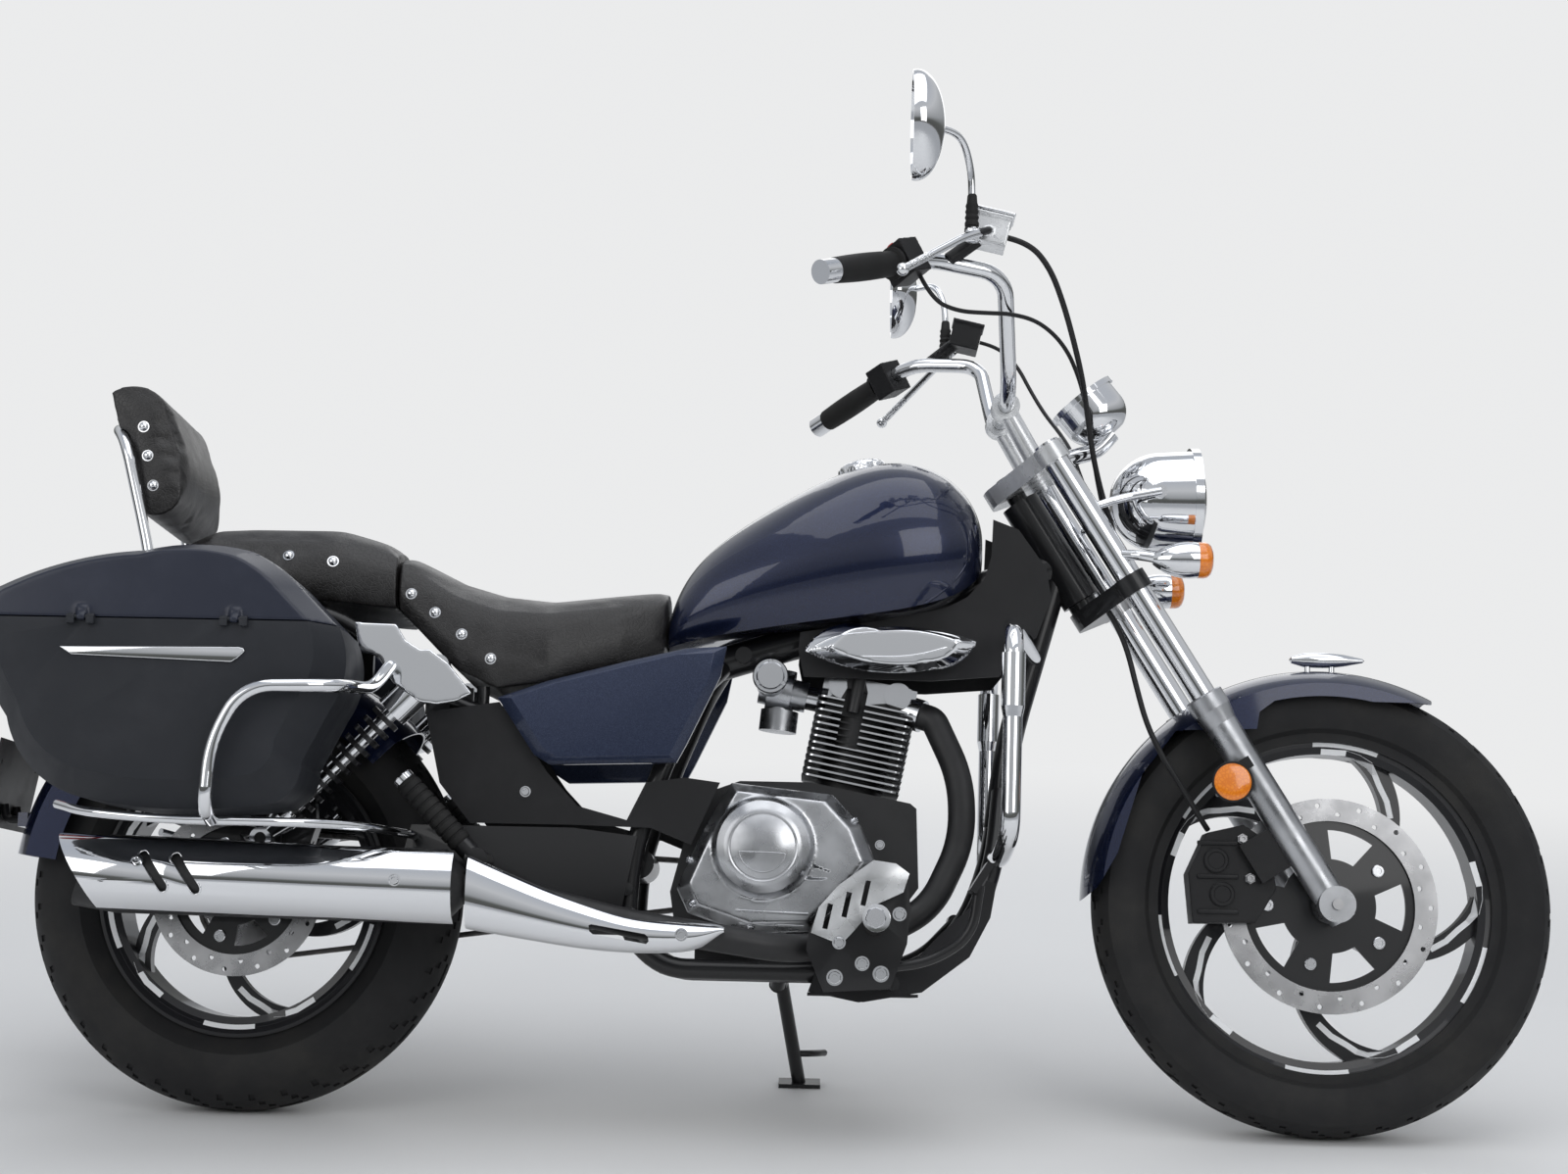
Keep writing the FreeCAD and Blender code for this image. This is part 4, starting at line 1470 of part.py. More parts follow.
def bag_shell(name, side, lift, open_lift):
    outer = loft(name + "_outer", "XZ_Plane", [
        ("bag_inner", bag_outline(side, 0.97, lift)), ("bag_inner + 14", bag_outline(side, 1, lift)),
        ("bag_inner + bag_depth - 44", bag_outline(side, 1, lift)),
                                               ("bag_inner + bag_depth", bag_outline(side, 0.86, lift))],
                 True)
    inner = loft(name + "_inner", "XZ_Plane", [
        ("bag_inner + bag_wall", bag_outline(side, 0.945, open_lift)),
                                               ("bag_inner + 14 + bag_wall / 2",
                                                bag_outline(side, 0.97, open_lift)),
        ("bag_inner + bag_depth - 44 - bag_wall / 2", bag_outline(side, 0.97, open_lift)),
        ("bag_inner + bag_depth - bag_wall", bag_outline(side, 0.84, open_lift))], True)
    return without(name + "_shell", outer, [inner])


HINGE_Y = -(S.bag_inner + S.bag_depth + 5)
HINGE_Z = S.bag_seam + S.lid_gap / 2
HINGES = (-150, 50)
case_shell = bag_shell("case", CASE_SIDE, "0", "2")
knuckles, pins, lid_knuckles, lid_bores = [], [], [], []
for i, x in enumerate(HINGES):
    for side in (-1, 1):
        knuckles.append(block(f"knuckle_{i}_{side + 1}", "10", "9.4", "7.8",
                              (x + side * 13, HINGE_Y + 0.7, HINGE_Z - 5.1)))
        knuckles.append(rod(f"knuckle_eye_{i}_{side + 1}", "4", "10",
                            (x + side * 13 - 5, HINGE_Y, HINGE_Z), (1, 0, 0)))
    pins.append(rod(f"hinge_pin_{i}", "hinge_pin", "36", (x - 18, HINGE_Y, HINGE_Z), (1, 0, 0)))
    lid_knuckles.append(rod(f"lid_knuckle_{i}", "hinge_pin + 2.2", "13", (x - 6.5, HINGE_Y, HINGE_Z),
                            (1, 0, 0)))
    lid_knuckles.append(block(f"lid_leaf_{i}", "13", "7", "12", (x, HINGE_Y + 4.2, HINGE_Z + 9)))
    lid_bores.append(rod(f"lid_bore_{i}", "hinge_pin + run_gap", "60", (x - 30, HINGE_Y, HINGE_Z),
                         (1, 0, 0)))
case_right = fused("case_right_parts", [case_shell] + knuckles + pins)
node("cases", both_sides("case_pair", case_right))

lid_shell = bag_shell("lid", LID_SIDE, "lid_gap", "lid_gap - 2")
lid_right = without("lid_right_bored", fused("lid_right_parts", [lid_shell] + lid_knuckles), lid_bores)
node("right_lid", side_by_side("lid_right_piece", [lid_right]))
node("left_lid", mirrored("lid_left_mirror", lid_right))

RAIL_LOW = [(256, -S.arm_half - S.arm_radius - 9 - S.seat_gap, 384), (256, -165, 384), (204, -250, 388),
            (120, -330, 386), (-40, -344, 385), (-150, -330, 394), (-204, -262, 408)]
RAIL_UP = [(224, -S.strut_side - 6 - S.seat_gap, 610), (224, -204, 610), (212, -268, 570),
           (188, -392, 558), (70, -402, 554), (32, -402, 480), (28, -402, 396), (24, -344, 386)]
case_rail = fused("case_rail_parts", [shaped("rail_low", tube_shape(RAIL_LOW, 6)),
                                      shaped("rail_up", tube_shape(RAIL_UP, S.rail_bar_radius))])
node("rear_bars", side_by_side("rear_bar_pieces", [sissy_bar, case_rail,
                                                   mirrored("case_rail_left", case_rail)]))


# The motorcycle leans on its stand, both tyres and the stand's foot on the floor

doc.recompute()
for thing, frame in nodes:
    thing.Placement = PARKED * frame * thing.Placement
doc.recompute()
whole = FreeCAD.BoundBox()
for thing, frame in nodes:
    whole.add(thing.Shape.optimalBoundingBox(True, False))
middle = Vector(-whole.Center.x, -whole.Center.y, 0)
for thing, frame in nodes:
    thing.Placement = Placement(middle, Rotation()) * thing.Placement
doc.recompute()

for thing in doc.Objects:
    if {"Invalid", "Error"} & set(thing.State):
        raise SystemExit(f"{thing.Name} failed: {thing.State}")
for thing, frame in nodes:
    if thing.Shape.isNull() or not thing.Shape.isValid():
        raise SystemExit(f"{thing.Label} is not a valid shape")

os.makedirs("parts", exist_ok=True)
for thing, frame in nodes:
    thing.Shape.exportStep(f"parts/{thing.Label}.step")
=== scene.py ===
import json
import math
from contextlib import contextmanager

import bmesh
import bpy
from mathutils import Matrix, Vector, bvhtree

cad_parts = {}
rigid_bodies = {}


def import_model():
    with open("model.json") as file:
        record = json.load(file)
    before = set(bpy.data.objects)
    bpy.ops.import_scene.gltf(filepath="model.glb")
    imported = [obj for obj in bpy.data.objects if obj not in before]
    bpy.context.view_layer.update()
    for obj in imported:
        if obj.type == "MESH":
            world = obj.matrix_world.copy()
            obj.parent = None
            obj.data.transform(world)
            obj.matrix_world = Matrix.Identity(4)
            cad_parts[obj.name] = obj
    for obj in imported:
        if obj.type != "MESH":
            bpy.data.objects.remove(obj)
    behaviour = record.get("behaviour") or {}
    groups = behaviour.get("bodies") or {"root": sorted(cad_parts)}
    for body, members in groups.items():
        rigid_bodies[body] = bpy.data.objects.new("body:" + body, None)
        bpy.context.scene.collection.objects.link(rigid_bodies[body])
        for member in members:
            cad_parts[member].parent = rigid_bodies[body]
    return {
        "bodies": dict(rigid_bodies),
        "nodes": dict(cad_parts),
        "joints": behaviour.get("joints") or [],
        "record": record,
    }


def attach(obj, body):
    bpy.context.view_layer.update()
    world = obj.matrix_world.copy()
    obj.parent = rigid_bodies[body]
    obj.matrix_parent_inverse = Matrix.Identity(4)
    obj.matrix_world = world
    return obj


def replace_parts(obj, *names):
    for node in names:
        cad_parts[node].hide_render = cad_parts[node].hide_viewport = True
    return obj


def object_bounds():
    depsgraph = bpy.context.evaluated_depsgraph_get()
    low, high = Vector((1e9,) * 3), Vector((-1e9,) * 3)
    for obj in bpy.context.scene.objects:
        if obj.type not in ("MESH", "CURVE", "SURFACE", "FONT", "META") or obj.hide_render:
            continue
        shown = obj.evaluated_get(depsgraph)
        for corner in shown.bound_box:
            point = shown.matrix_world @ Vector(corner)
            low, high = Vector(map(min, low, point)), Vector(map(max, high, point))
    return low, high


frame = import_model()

cad_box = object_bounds()
nodes = frame["nodes"]

# Places. The motorcycle is worked on upright, in millimetres from the floor under the rear axle,
# and every finished piece is then leaned onto its stand with PARKED.

MM = 0.001
LEAN = math.radians(12)
TYRE_CROWN = 66
MIDDLE = (-734.6283, -197.0318, 0)
PARKED = (
    Matrix.Translation(Vector(MIDDLE) * MM)
    @ Matrix.Translation((0, 0, TYRE_CROWN * (1 - math.cos(LEAN)) * MM))
    @ Matrix.Rotation(-LEAN, 4, "X")
)
RAKE = math.radians(31.7)
FORK_OFFSET, FORK_DROP = 57, 625
FRONT_AXLE = Vector((1515, 0, 318.5))
REAR_AXLE = Vector((0, 0, 307.5))
HEAD = FRONT_AXLE + Vector((-math.cos(RAKE) * FORK_OFFSET - math.sin(RAKE) * FORK_DROP, 0,
                            -math.sin(RAKE) * FORK_OFFSET + math.cos(RAKE) * FORK_DROP))
LEVEL = PARKED @ Matrix.Translation(HEAD * MM)
STEERING = LEVEL @ Matrix.Rotation(-RAKE, 4, "Y")
AS_IT_IS = Matrix.Identity(4)
TO_THE_RIGHT = (0, -1, 0)


def put(x, y, z):
    """A point of the upright motorcycle, in millimetres, where it is when parked."""
    return PARKED @ Vector((x * MM, y * MM, z * MM))


# Materials

class Signal:
    """A value that varies over a surface: the output of one of a finish's nodes."""

    def __init__(self, finish, socket):
        self.finish = finish
        self.socket = socket

    def __mul__(self, other):
        return self.finish.node("ShaderNodeMath", {"operation": "MULTIPLY"}, {0: self, 1: other})

    def ramp(self, low, high, start=0.0, end=1.0):
        """A smooth step: start at low, end at high."""
        return self.finish.node("ShaderNodeMapRange", {"interpolation_type": "SMOOTHSTEP"},
                                {0: self, 1: low, 2: high, 3: start, 4: end})


class Finish:
    """A material that is being made: its nodes, and the shader they end in."""

    def __init__(self, name, color, roughness, metallic=0.0, **fixed):
        self.material = bpy.data.materials.new(name)
        self.material.use_nodes = True
        self.tree = self.material.node_tree
        self.tree.nodes.clear()
        self.shader = self.tree.nodes.new("ShaderNodeBsdfPrincipled")
        output = self.tree.nodes.new("ShaderNodeOutputMaterial")
        self.tree.links.new(self.shader.outputs[0], output.inputs[0])
        self.material.diffuse_color = (*color, 1)
        self.set("Base Color", color)
        self.set("Roughness", roughness)
        self.set("Metallic", metallic)
        for socket, value in fixed.items():
            self.set(socket.replace("_", " "), value)

    def set(self, socket, value):
        self._join(value, self.shader.inputs[socket])

    def _join(self, value, socket):
        if isinstance(value, Signal):
            self.tree.links.new(value.socket, socket)
        elif socket.type == "RGBA":
            socket.default_value = (*value[:3], 1)
        else:
            socket.default_value = value

    def node(self, kind, settings=None, inputs=None, output=0):
        """Adds a node: its settings first, then the values or links of its sockets."""
        made = self.tree.nodes.new(kind)
        for name, value in (settings or {}).items():
            setattr(made, name, value)
        for name, value in (inputs or {}).items():
            self._join(value, made.inputs[name])
        return Signal(self, made.outputs[output])

    def place(self):
        """Object coordinates, so that a pattern follows its piece."""
        return self.node("ShaderNodeTexCoord", output=3)

    def noise(self, scale, detail=3.0, rough=0.5):
        return self.node("ShaderNodeTexNoise", {}, {"Vector": self.place(), "Scale": scale, "Detail": detail,
                                                    "Roughness": rough})

    def cells(self, scale, feature="F1", output=0):
        return self.node("ShaderNodeTexVoronoi", {"feature": feature},
                         {"Vector": self.place(), "Scale": scale}, output)

    def mix(self, amount, first, second):
        """One colour into another, by an amount from 0 to 1."""
        return self.node("ShaderNodeMix", {"data_type": "RGBA"}, {0: amount, 6: first, 7: second}, 2)

    def bump(self, height, distance, after=None):
        inputs = {"Height": height, "Distance": distance, "Strength": 1.0}
        if after:
            inputs["Normal"] = after
        return self.node("ShaderNodeBump", {}, inputs)


def shiny(name, color, roughness, smudge=0.04, waves=0.0012):
    """Polished metal, with faint smudges where hands and rain have been."""
    finish = Finish(name, color, roughness, 1.0)
    finish.set("Roughness", finish.noise(9, 4).ramp(0.4, 0.75, roughness, roughness + smudge))
    finish.set("Normal", finish.bump(finish.noise(6, 1), waves))
    return finish.material


def cast(name, color, roughness, grain, depth, metallic=1.0):
    """A metal surface as cast or bead blasted."""
    finish = Finish(name, color, roughness, metallic)
    grains = finish.noise(grain, 4)
    tone = [c * 0.72 for c in color]
    finish.set("Base Color", finish.mix(finish.noise(14, 5).ramp(0.35, 0.7), color, tone))
    finish.set("Roughness", finish.noise(30, 3).ramp(0.3, 0.7, roughness - 0.06, roughness + 0.1))
    finish.set("Normal", finish.bump(grains, depth))
    return finish.material


def painted(name, color, flake, roughness=0.3, coat=1.0, metallic=0.6):
    """Metallic lacquer: fine flakes under a clear coat."""
    finish = Finish(name, color, roughness, metallic, Coat_Weight=coat, Coat_Roughness=0.04,
                    Specular_IOR_Level=0.3)
    flakes = finish.cells(2600, output=1)
    light = finish.node("ShaderNodeSeparateColor", inputs={0: flakes})
    finish.set("Base Color", finish.mix(light.ramp(0.55, 1.0), color, flake))
    finish.set("Roughness", finish.noise(6, 4).ramp(0.35, 0.7, roughness, roughness + 0.06))
    finish.set("Normal", finish.bump(finish.noise(35, 2), 0.00002))
    return finish.material


def moulded(name, color, worn, roughness, grain=900, depth=0.00006, coat=0.0):
    """Moulded plastic or rubber with a fine grain, paler where it has been rubbed."""
    finish = Finish(name, color, roughness, Coat_Weight=coat, Coat_Roughness=0.15, Specular_IOR_Level=0.25)
    finish.set("Base Color", finish.mix(finish.noise(7, 6, rough=0.6).ramp(0.42, 0.78), color, worn))
    finish.set("Roughness", finish.noise(18, 4).ramp(0.3, 0.7, roughness - 0.05, roughness + 0.08))
    finish.set("Normal", finish.bump(finish.cells(grain), depth))
    return finish.material


navy = painted("navy paint", (0.007, 0.011, 0.036), (0.020, 0.032, 0.090), 0.26)
lid_blue = moulded("lid blue", (0.016, 0.020, 0.036), (0.026, 0.031, 0.050), 0.34, coat=0.3)
cover_blue = painted("cover blue", (0.020, 0.028, 0.062), (0.06, 0.08, 0.14), 0.4, 0.5)
frame_black = painted("frame black", (0.011, 0.011, 0.012), (0.014, 0.014, 0.015), 0.3, 0.35, 0.0)
wheel_black = painted("wheel black", (0.010, 0.010, 0.012), (0.014, 0.014, 0.016), 0.3, 0.5, 0.0)
panel_black = moulded("panel black", (0.016, 0.016, 0.017), (0.024, 0.024, 0.026), 0.5)
case_charcoal = moulded("case charcoal", (0.022, 0.024, 0.029), (0.034, 0.036, 0.042), 0.5, 1400, 0.00008)
control_black = moulded("control black", (0.012, 0.012, 0.013), (0.018, 0.018, 0.019), 0.35, 1500, 0.00003)
rubber_black = moulded("rubber", (0.014, 0.014, 0.014), (0.022, 0.021, 0.020), 0.62, 1200, 0.00008)
tyre_black = moulded("tyre", (0.017, 0.017, 0.018), (0.030, 0.029, 0.027), 0.66, 700, 0.00008)
engine_black = cast("engine black", (0.016, 0.016, 0.017), 0.42, 520, 0.0001, 0.0)
exhaust_black = cast("exhaust black", (0.014, 0.014, 0.015), 0.48, 700, 0.00006, 0.0)
chrome = shiny("chrome", (0.80, 0.81, 0.83), 0.045)
bright_alloy = shiny("bright alloy", (0.68, 0.69, 0.71), 0.16, 0.1)
cast_alloy = cast("cast alloy", (0.50, 0.51, 0.53), 0.30, 480, 0.00004)
steel = cast("steel", (0.55, 0.55, 0.56), 0.28, 300, 0.00003)
dark_steel = cast("dark steel", (0.16, 0.155, 0.15), 0.42, 300, 0.00003)
cover_alloy = cast("cover alloy", (0.60, 0.61, 0.63), 0.27, 420, 0.00003)
carrier_black = painted("carrier black", (0.012, 0.012, 0.013), (0.016, 0.016, 0.017), 0.35, 0.6, 0.0)
caliper_black = moulded("caliper black", (0.014, 0.014, 0.015), (0.022, 0.022, 0.023), 0.42, 700, 0.00008)
white_line = moulded("white line", (0.92, 0.93, 0.94), (0.86, 0.87, 0.88), 0.3, 1200, 0.00001)
silver_paint = cast("silver paint", (0.78, 0.79, 0.80), 0.24, 420, 0.00002, 0.6)
hose_black = moulded("hose black", (0.015, 0.015, 0.016), (0.024, 0.024, 0.025), 0.38, 1600, 0.00004)
red_button = moulded("red button", (0.42, 0.012, 0.010), (0.34, 0.010, 0.008), 0.35, 900, 0.00002)
mirror_glass = shiny("mirror glass", (0.86, 0.88, 0.90), 0.02, 0.01, 0.0001)
dial_black = moulded("dial black", (0.010, 0.010, 0.011), (0.014, 0.014, 0.015), 0.3, 900, 0.00001, coat=0.8)


def lens(name, color, deep, roughness=0.1, **fixed):
    """A moulded lamp lens: small prisms that catch light, deeper in colour between them."""
    finish = Finish(name, color, roughness, Coat_Weight=1.0, Coat_Roughness=0.03, **fixed)
    prisms = finish.cells(210, feature="DISTANCE_TO_EDGE")
    finish.set("Base Color", finish.mix(prisms.ramp(0.02, 0.25), deep, color))
    finish.set("Roughness", finish.noise(24, 3).ramp(0.35, 0.7, roughness, roughness + 0.08))
    finish.set("Normal", finish.bump(prisms, 0.00012))
    return finish.material


amber = lens("amber", (0.90, 0.27, 0.012), (0.80, 0.20, 0.008))
red_lens = lens("red lens", (0.42, 0.008, 0.008), (0.22, 0.004, 0.004))
clear = lens("clear glass", (0.93, 0.95, 0.96), (0.80, 0.84, 0.86), 0.03, Transmission_Weight=0.9, IOR=1.46)
leather = Finish("leather", (0.014, 0.013, 0.013), 0.42, Coat_Weight=0.15, Coat_Roughness=0.3)
creases = leather.cells(160, feature="DISTANCE_TO_EDGE")
folds = leather.noise(22, 5, rough=0.6)
leather.set("Base Color", leather.mix(folds.ramp(0.4, 0.75), (0.011, 0.010, 0.010), (0.026, 0.025, 0.025)))
leather.set("Roughness", folds.ramp(0.3, 0.7, 0.36, 0.52))
grain = leather.bump(creases.ramp(0.0, 0.12), 0.00022)
leather.set("Normal", leather.bump(folds, 0.0012, after=grain))
leather = leather.material

WEARERS = [
    # finish, the plain pieces that wear it
    (tyre_black, "front_tyre rear_tyre"),
    (wheel_black, "front_cast_wheel rear_cast_wheel"),
    (steel, "front_brake_disc rear_brake_disc rear_sprocket front_axle rear_axle drive_chain"),
    (frame_black, "lower_yoke front_caliper main_frame side_stand swinging_arm rear_caliper footrests "
                  "foot_levers"),
    (silver_paint, "top_yoke"),
    (chrome, "fork_tubes handlebar mirrors headlamp instrument front_indicators rear_shocks "
             "exhaust_shields engine_guard chrome_trim fender_ornament rear_bars"),
    (cast_alloy, "fork_sliders engine_covers carburettor"),
    (rubber_black, "grips brake_hose clutch_cable throttle_cable lower_brake_hose"),
    (control_black, "bar_controls plate_bracket"),
    (clear, "headlamp_lens"),
    (amber, "fork_reflectors"),
    (navy, "front_fender fuel_tank rear_fender"),
    (engine_black, "crankcase cylinder cylinder_head"),
    (exhaust_black, "exhaust_pipe silencer"),
    (panel_black, "black_panels"),
    (cover_blue, "side_covers"),
    (red_lens, "rear_lamps"),
    (leather, "passenger_seat rider_seat backrest"),
    (case_charcoal, "cases"),
    (lid_blue, "right_lid left_lid"),
]


def clothe(node, material):
    nodes[node].data.materials.clear()
    nodes[node].data.materials.append(material)


for material, wearers in WEARERS:
    for node in wearers.split():
        clothe(node, material)


# How pieces are made

def lone():
    """Nothing selected, so that the next operator acts on its own piece."""
    bpy.ops.object.select_all(action="DESELECT")


def only(piece):
    lone()
    piece.select_set(True)
    bpy.context.view_layer.objects.active = piece


def smooth(piece, degrees=38):
    only(piece)
    bpy.ops.object.shade_smooth_by_angle(angle=math.radians(degrees))


@contextmanager
def editing(piece):
    """Edit mode with all of the piece selected, for as long as the block lasts."""
    only(piece)
    bpy.ops.object.mode_set(mode="EDIT")
    bpy.ops.mesh.select_all(action="SELECT")
    yield
    bpy.ops.object.mode_set(mode="OBJECT")


def face_outwards():
    bpy.ops.mesh.select_all(action="SELECT")
    bpy.ops.mesh.normals_make_consistent(inside=False)


def linked(name, data):
    """A new piece in the scene, around a mesh or a curve."""
    piece = bpy.data.objects.new(name, data)
    bpy.context.scene.collection.objects.link(piece)
    return piece


def another(piece):
    return linked(piece.name, piece.data.copy())


def built(name, points, faces):
    """A piece from its points, in metres, and the faces between them."""
    mesh = bpy.data.meshes.new(name)
    mesh.from_pydata(points, [], faces)
    return linked(name, mesh)


def curved(name, points, radius, roundness, steps):
    """A round bar along a smooth line through the scene's points, in metres, still as a curve."""
    data = bpy.data.curves.new(name, "CURVE")
    data.dimensions = "3D"
    data.bevel_depth = radius * MM
    data.bevel_resolution = roundness
    data.resolution_u = steps
    data.use_fill_caps = True
    spline = data.splines.new("NURBS")
    spline.points.add(len(points) - 1)
    for spot, point in zip(spline.points, points):
        spot.co = (*point, 1)
    spline.order_u = 3
    spline.use_endpoint_u = True
    return linked(name, data)


def discard(*models):
    for model in models:
        bpy.data.objects.remove(model)


def finish(piece, name, material, body, slot, frame=PARKED):
    """Puts a piece in its place, on its body, with its finish."""
    piece.name = name
    piece.data.transform(frame @ piece.matrix_world)
    piece.matrix_world = AS_IT_IS
    if material:
        piece.data.materials.clear()
        piece.data.materials.append(material)
    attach(piece, body)
    return piece


def apply(piece, kind, **settings):
    """Adds a modifier and applies it."""
    modifier = piece.modifiers.new(kind.lower(), kind)
    for name, value in settings.items():
        setattr(modifier, name, value)
    only(piece)
    bpy.ops.object.modifier_apply(modifier=modifier.name)


def joined(pieces):
    lone()
    for piece in pieces:
        piece.select_set(True)
    bpy.context.view_layer.objects.active = pieces[0]
    bpy.ops.object.join()
    return pieces[0]


def merged_copy(node, name):
    """The CAD node's surface as one connected mesh, to be worked on."""
    piece = linked(name, nodes[node].data.copy())
    with editing(piece):
        bpy.ops.mesh.remove_doubles(threshold=0.00002)
    return piece


def surface(piece):
    """The piece's faces as a tree that answers where a line meets them."""
    shape = bmesh.new()
    shape.from_mesh(piece.data)
    tree = bvhtree.BVHTree.FromBMesh(shape)
    shape.free()
    return tree


# The seats and the backrest: leather over foam, with domed studs

SIDEWAYS = (PARKED.to_3x3() @ Vector((0, 1, 0))).normalized()
UPRIGHT = (PARKED.to_3x3() @ Vector((0, 0, 1))).normalized()
FORWARD = Vector((1, 0, 0))


PAD_GRID = 0.0055
PAD_START = 0.0015
PAD_PRESSURE = 4.0


def upholstered(node, name, cap, held):
    """A leather pad in the plain one's place: remeshed, then swelled as cloth, but not where it is held."""
    pad = merged_copy(node, name)
    pad.data.remesh_voxel_size = PAD_GRID
    only(pad)
    bpy.ops.object.voxel_remesh()
    ways = [vertex.normal.copy() for vertex in pad.data.vertices]
    for vertex, way in zip(pad.data.vertices, ways):
        vertex.co -= way * PAD_START
    group = pad.vertex_groups.new(name="held")
    for vertex in pad.data.vertices:
        if held(vertex.normal):
            group.add([vertex.index], 1.0, "REPLACE")
    before = [vertex.co.copy() for vertex in pad.data.vertices]
    cloth = pad.modifiers.new("cloth", "CLOTH")
    cloth.settings.use_pressure = True
    cloth.settings.uniform_pressure_force = PAD_PRESSURE
    cloth.settings.effector_weights.gravity = 0
    cloth.settings.vertex_group_mass = "held"
    cloth.settings.tension_stiffness = 25
    cloth.settings.compression_stiffness = 12
    cloth.settings.bending_stiffness = 2.0
    cloth.point_cache.frame_end = 20
    for step in range(1, 21):
        bpy.context.scene.frame_set(step)
    only(pad)
    bpy.ops.object.modifier_apply(modifier="cloth")
    bpy.context.scene.frame_set(1)
    for vertex, old in zip(pad.data.vertices, before):
        shift = vertex.co - old
        if shift.length > cap:
            vertex.co = old + shift * (cap / shift.length)
    apply(pad, "SMOOTH", factor=0.5, iterations=4)
    apply(pad, "SUBSURF", levels=1, render_levels=1)
    smooth(pad, 60)
    pad.vertex_groups.clear()
    finish(pad, name, leather, "chassis", "leather", AS_IT_IS)
    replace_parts(pad, node)
    return pad


pads = {
    "rider_seat": upholstered("rider_seat", "rider_pad", 0.004, lambda n: n.dot(UPRIGHT) < -0.35),
    "passenger_seat": upholstered("passenger_seat", "passenger_pad", 0.004,
                                  lambda n: n.dot(UPRIGHT) < -0.35),
    "backrest": upholstered("backrest", "backrest_pad", 0.005, lambda n: n.dot(FORWARD) < -0.5),
}


def stud():
    """A chrome stud: a low dome on a flat flange, standing on the floor at the origin."""
    lone()
    bpy.ops.mesh.primitive_uv_sphere_add(segments=24, ring_count=12, radius=0.0068)
    piece = bpy.context.object
    with editing(piece):
        bpy.ops.mesh.bisect(plane_co=(0, 0, 0.0008), plane_no=(0, 0, 1), clear_inner=True)
        bpy.ops.mesh.extrude_region_move(TRANSFORM_OT_translate={"value": (0, 0, 0)})
        bpy.ops.transform.resize(value=(1.22, 1.22, 1))
        bpy.ops.mesh.extrude_region_move(TRANSFORM_OT_translate={"value": (0, 0, -0.0016)})
        bpy.ops.mesh.select_all(action="SELECT")
        bpy.ops.transform.resize(value=(1, 1, 0.8), center_override=(0, 0, 0))
        face_outwards()
    smooth(piece, 35)
    return piece


STUDS = [
    # pad, ahead of the rear axle, above the floor
    ("passenger_seat", 56.8, 777.4),
    ("passenger_seat", 121.1, 769.0),
    ("rider_seat", 194.8, 746.2),
    ("rider_seat", 234.0, 724.6),
    ("rider_seat", 269.4, 697.6),
    ("rider_seat", 309.0, 666.6),
    ("rider_seat", 351.6, 631.9),
    ("backrest", -158.3, 958.5),
    ("backrest", -150.1, 916.5),
    ("backrest", -140.0, 873.4),
]
model_stud = stud()
studs = []
skins = {name: surface(pad) for name, pad in pads.items()}
for pad, x, z in STUDS:
    for side in (-1, 1):
        found, normal, face, far = skins[pad].ray_cast(put(x, side * 400, z), SIDEWAYS * -side)
        if found is None:
            continue
        copy = another(model_stud)
        copy.data.transform(Matrix.Translation(found) @ normal.to_track_quat("Z", "X").to_matrix().to_4x4())
        studs.append(copy)
discard(model_stud)
finish(joined(studs), "seat_studs", chrome, "chassis", "chrome", AS_IT_IS)


# Working in the upright motorcycle's millimetres

BACK = PARKED.inverted()
BACK_TURN = BACK.to_3x3()


def trim(piece, material, chosen, back=BACK):
    """Another material on the faces that a test picks by their place and the way they face in a frame."""
    piece.data.materials.append(material)
    index = len(piece.data.materials) - 1
    turn = back.to_3x3()
    for face in piece.data.polygons:
        if chosen((back @ face.center) / MM, turn @ face.normal):
            face.material_index = index


def landing(skin, x, z, side=-1, reach=600):
    """Where a line from the side meets a surface, upright, in millimetres, and the way it faces there."""
    found, normal, face, far = skin.ray_cast(put(x, side * reach, z), SIDEWAYS * -side)
    if found is None:
        return None, None
    return (BACK @ found) / MM, BACK_TURN @ normal


def stack(rings, sides=32):
    """A turned piece along Z: a disc that is extruded and widened from ring to ring of (along, radius)."""
    lone()
    along, radius = rings[0]
    bpy.ops.mesh.primitive_circle_add(vertices=sides, radius=radius * MM, fill_type="NGON",
                                      location=(0, 0, along * MM))
    piece = bpy.context.object
    with editing(piece):
        for further, wider in rings[1:]:
            grow = wider / radius
            step = (0, 0, (further - along) * MM)
            bpy.ops.mesh.extrude_region_move(TRANSFORM_OT_translate={"value": step})
            bpy.ops.transform.resize(value=(grow, grow, 1), center_override=(0, 0, further * MM))
            along, radius = further, wider
        face_outwards()
    piece.data.transform(Matrix.Translation(piece.location))
    piece.location = (0, 0, 0)
    smooth(piece)
    return piece


def slab(outline, thick, corner=0.0):
    """A flat plate along Y from an outline of (x, z), with its rim bevelled."""
    lone()
    bpy.ops.mesh.primitive_circle_add(vertices=len(outline), radius=0.01, fill_type="NGON")
    piece = bpy.context.object
    for vertex, (x, z) in zip(piece.data.vertices, outline):
        vertex.co = (x * MM, 0, z * MM)
    with editing(piece):
        bpy.ops.mesh.extrude_region_move(TRANSFORM_OT_translate={"value": (0, -thick * MM, 0)})
        face_outwards()
    if corner:
        apply(piece, "BEVEL", width=corner * MM, segments=3, limit_method="ANGLE")
    smooth(piece)
    return piece


def set_at(piece, at, way=(0, 0, 1)):
    """Moves a piece made along Z to an upright place, pointing another way."""
    turn = Vector((0, 0, 1)).rotation_difference(Vector(way)).to_matrix().to_4x4()
    piece.data.transform(Matrix.Translation(Vector(at) * MM) @ turn)
    return piece


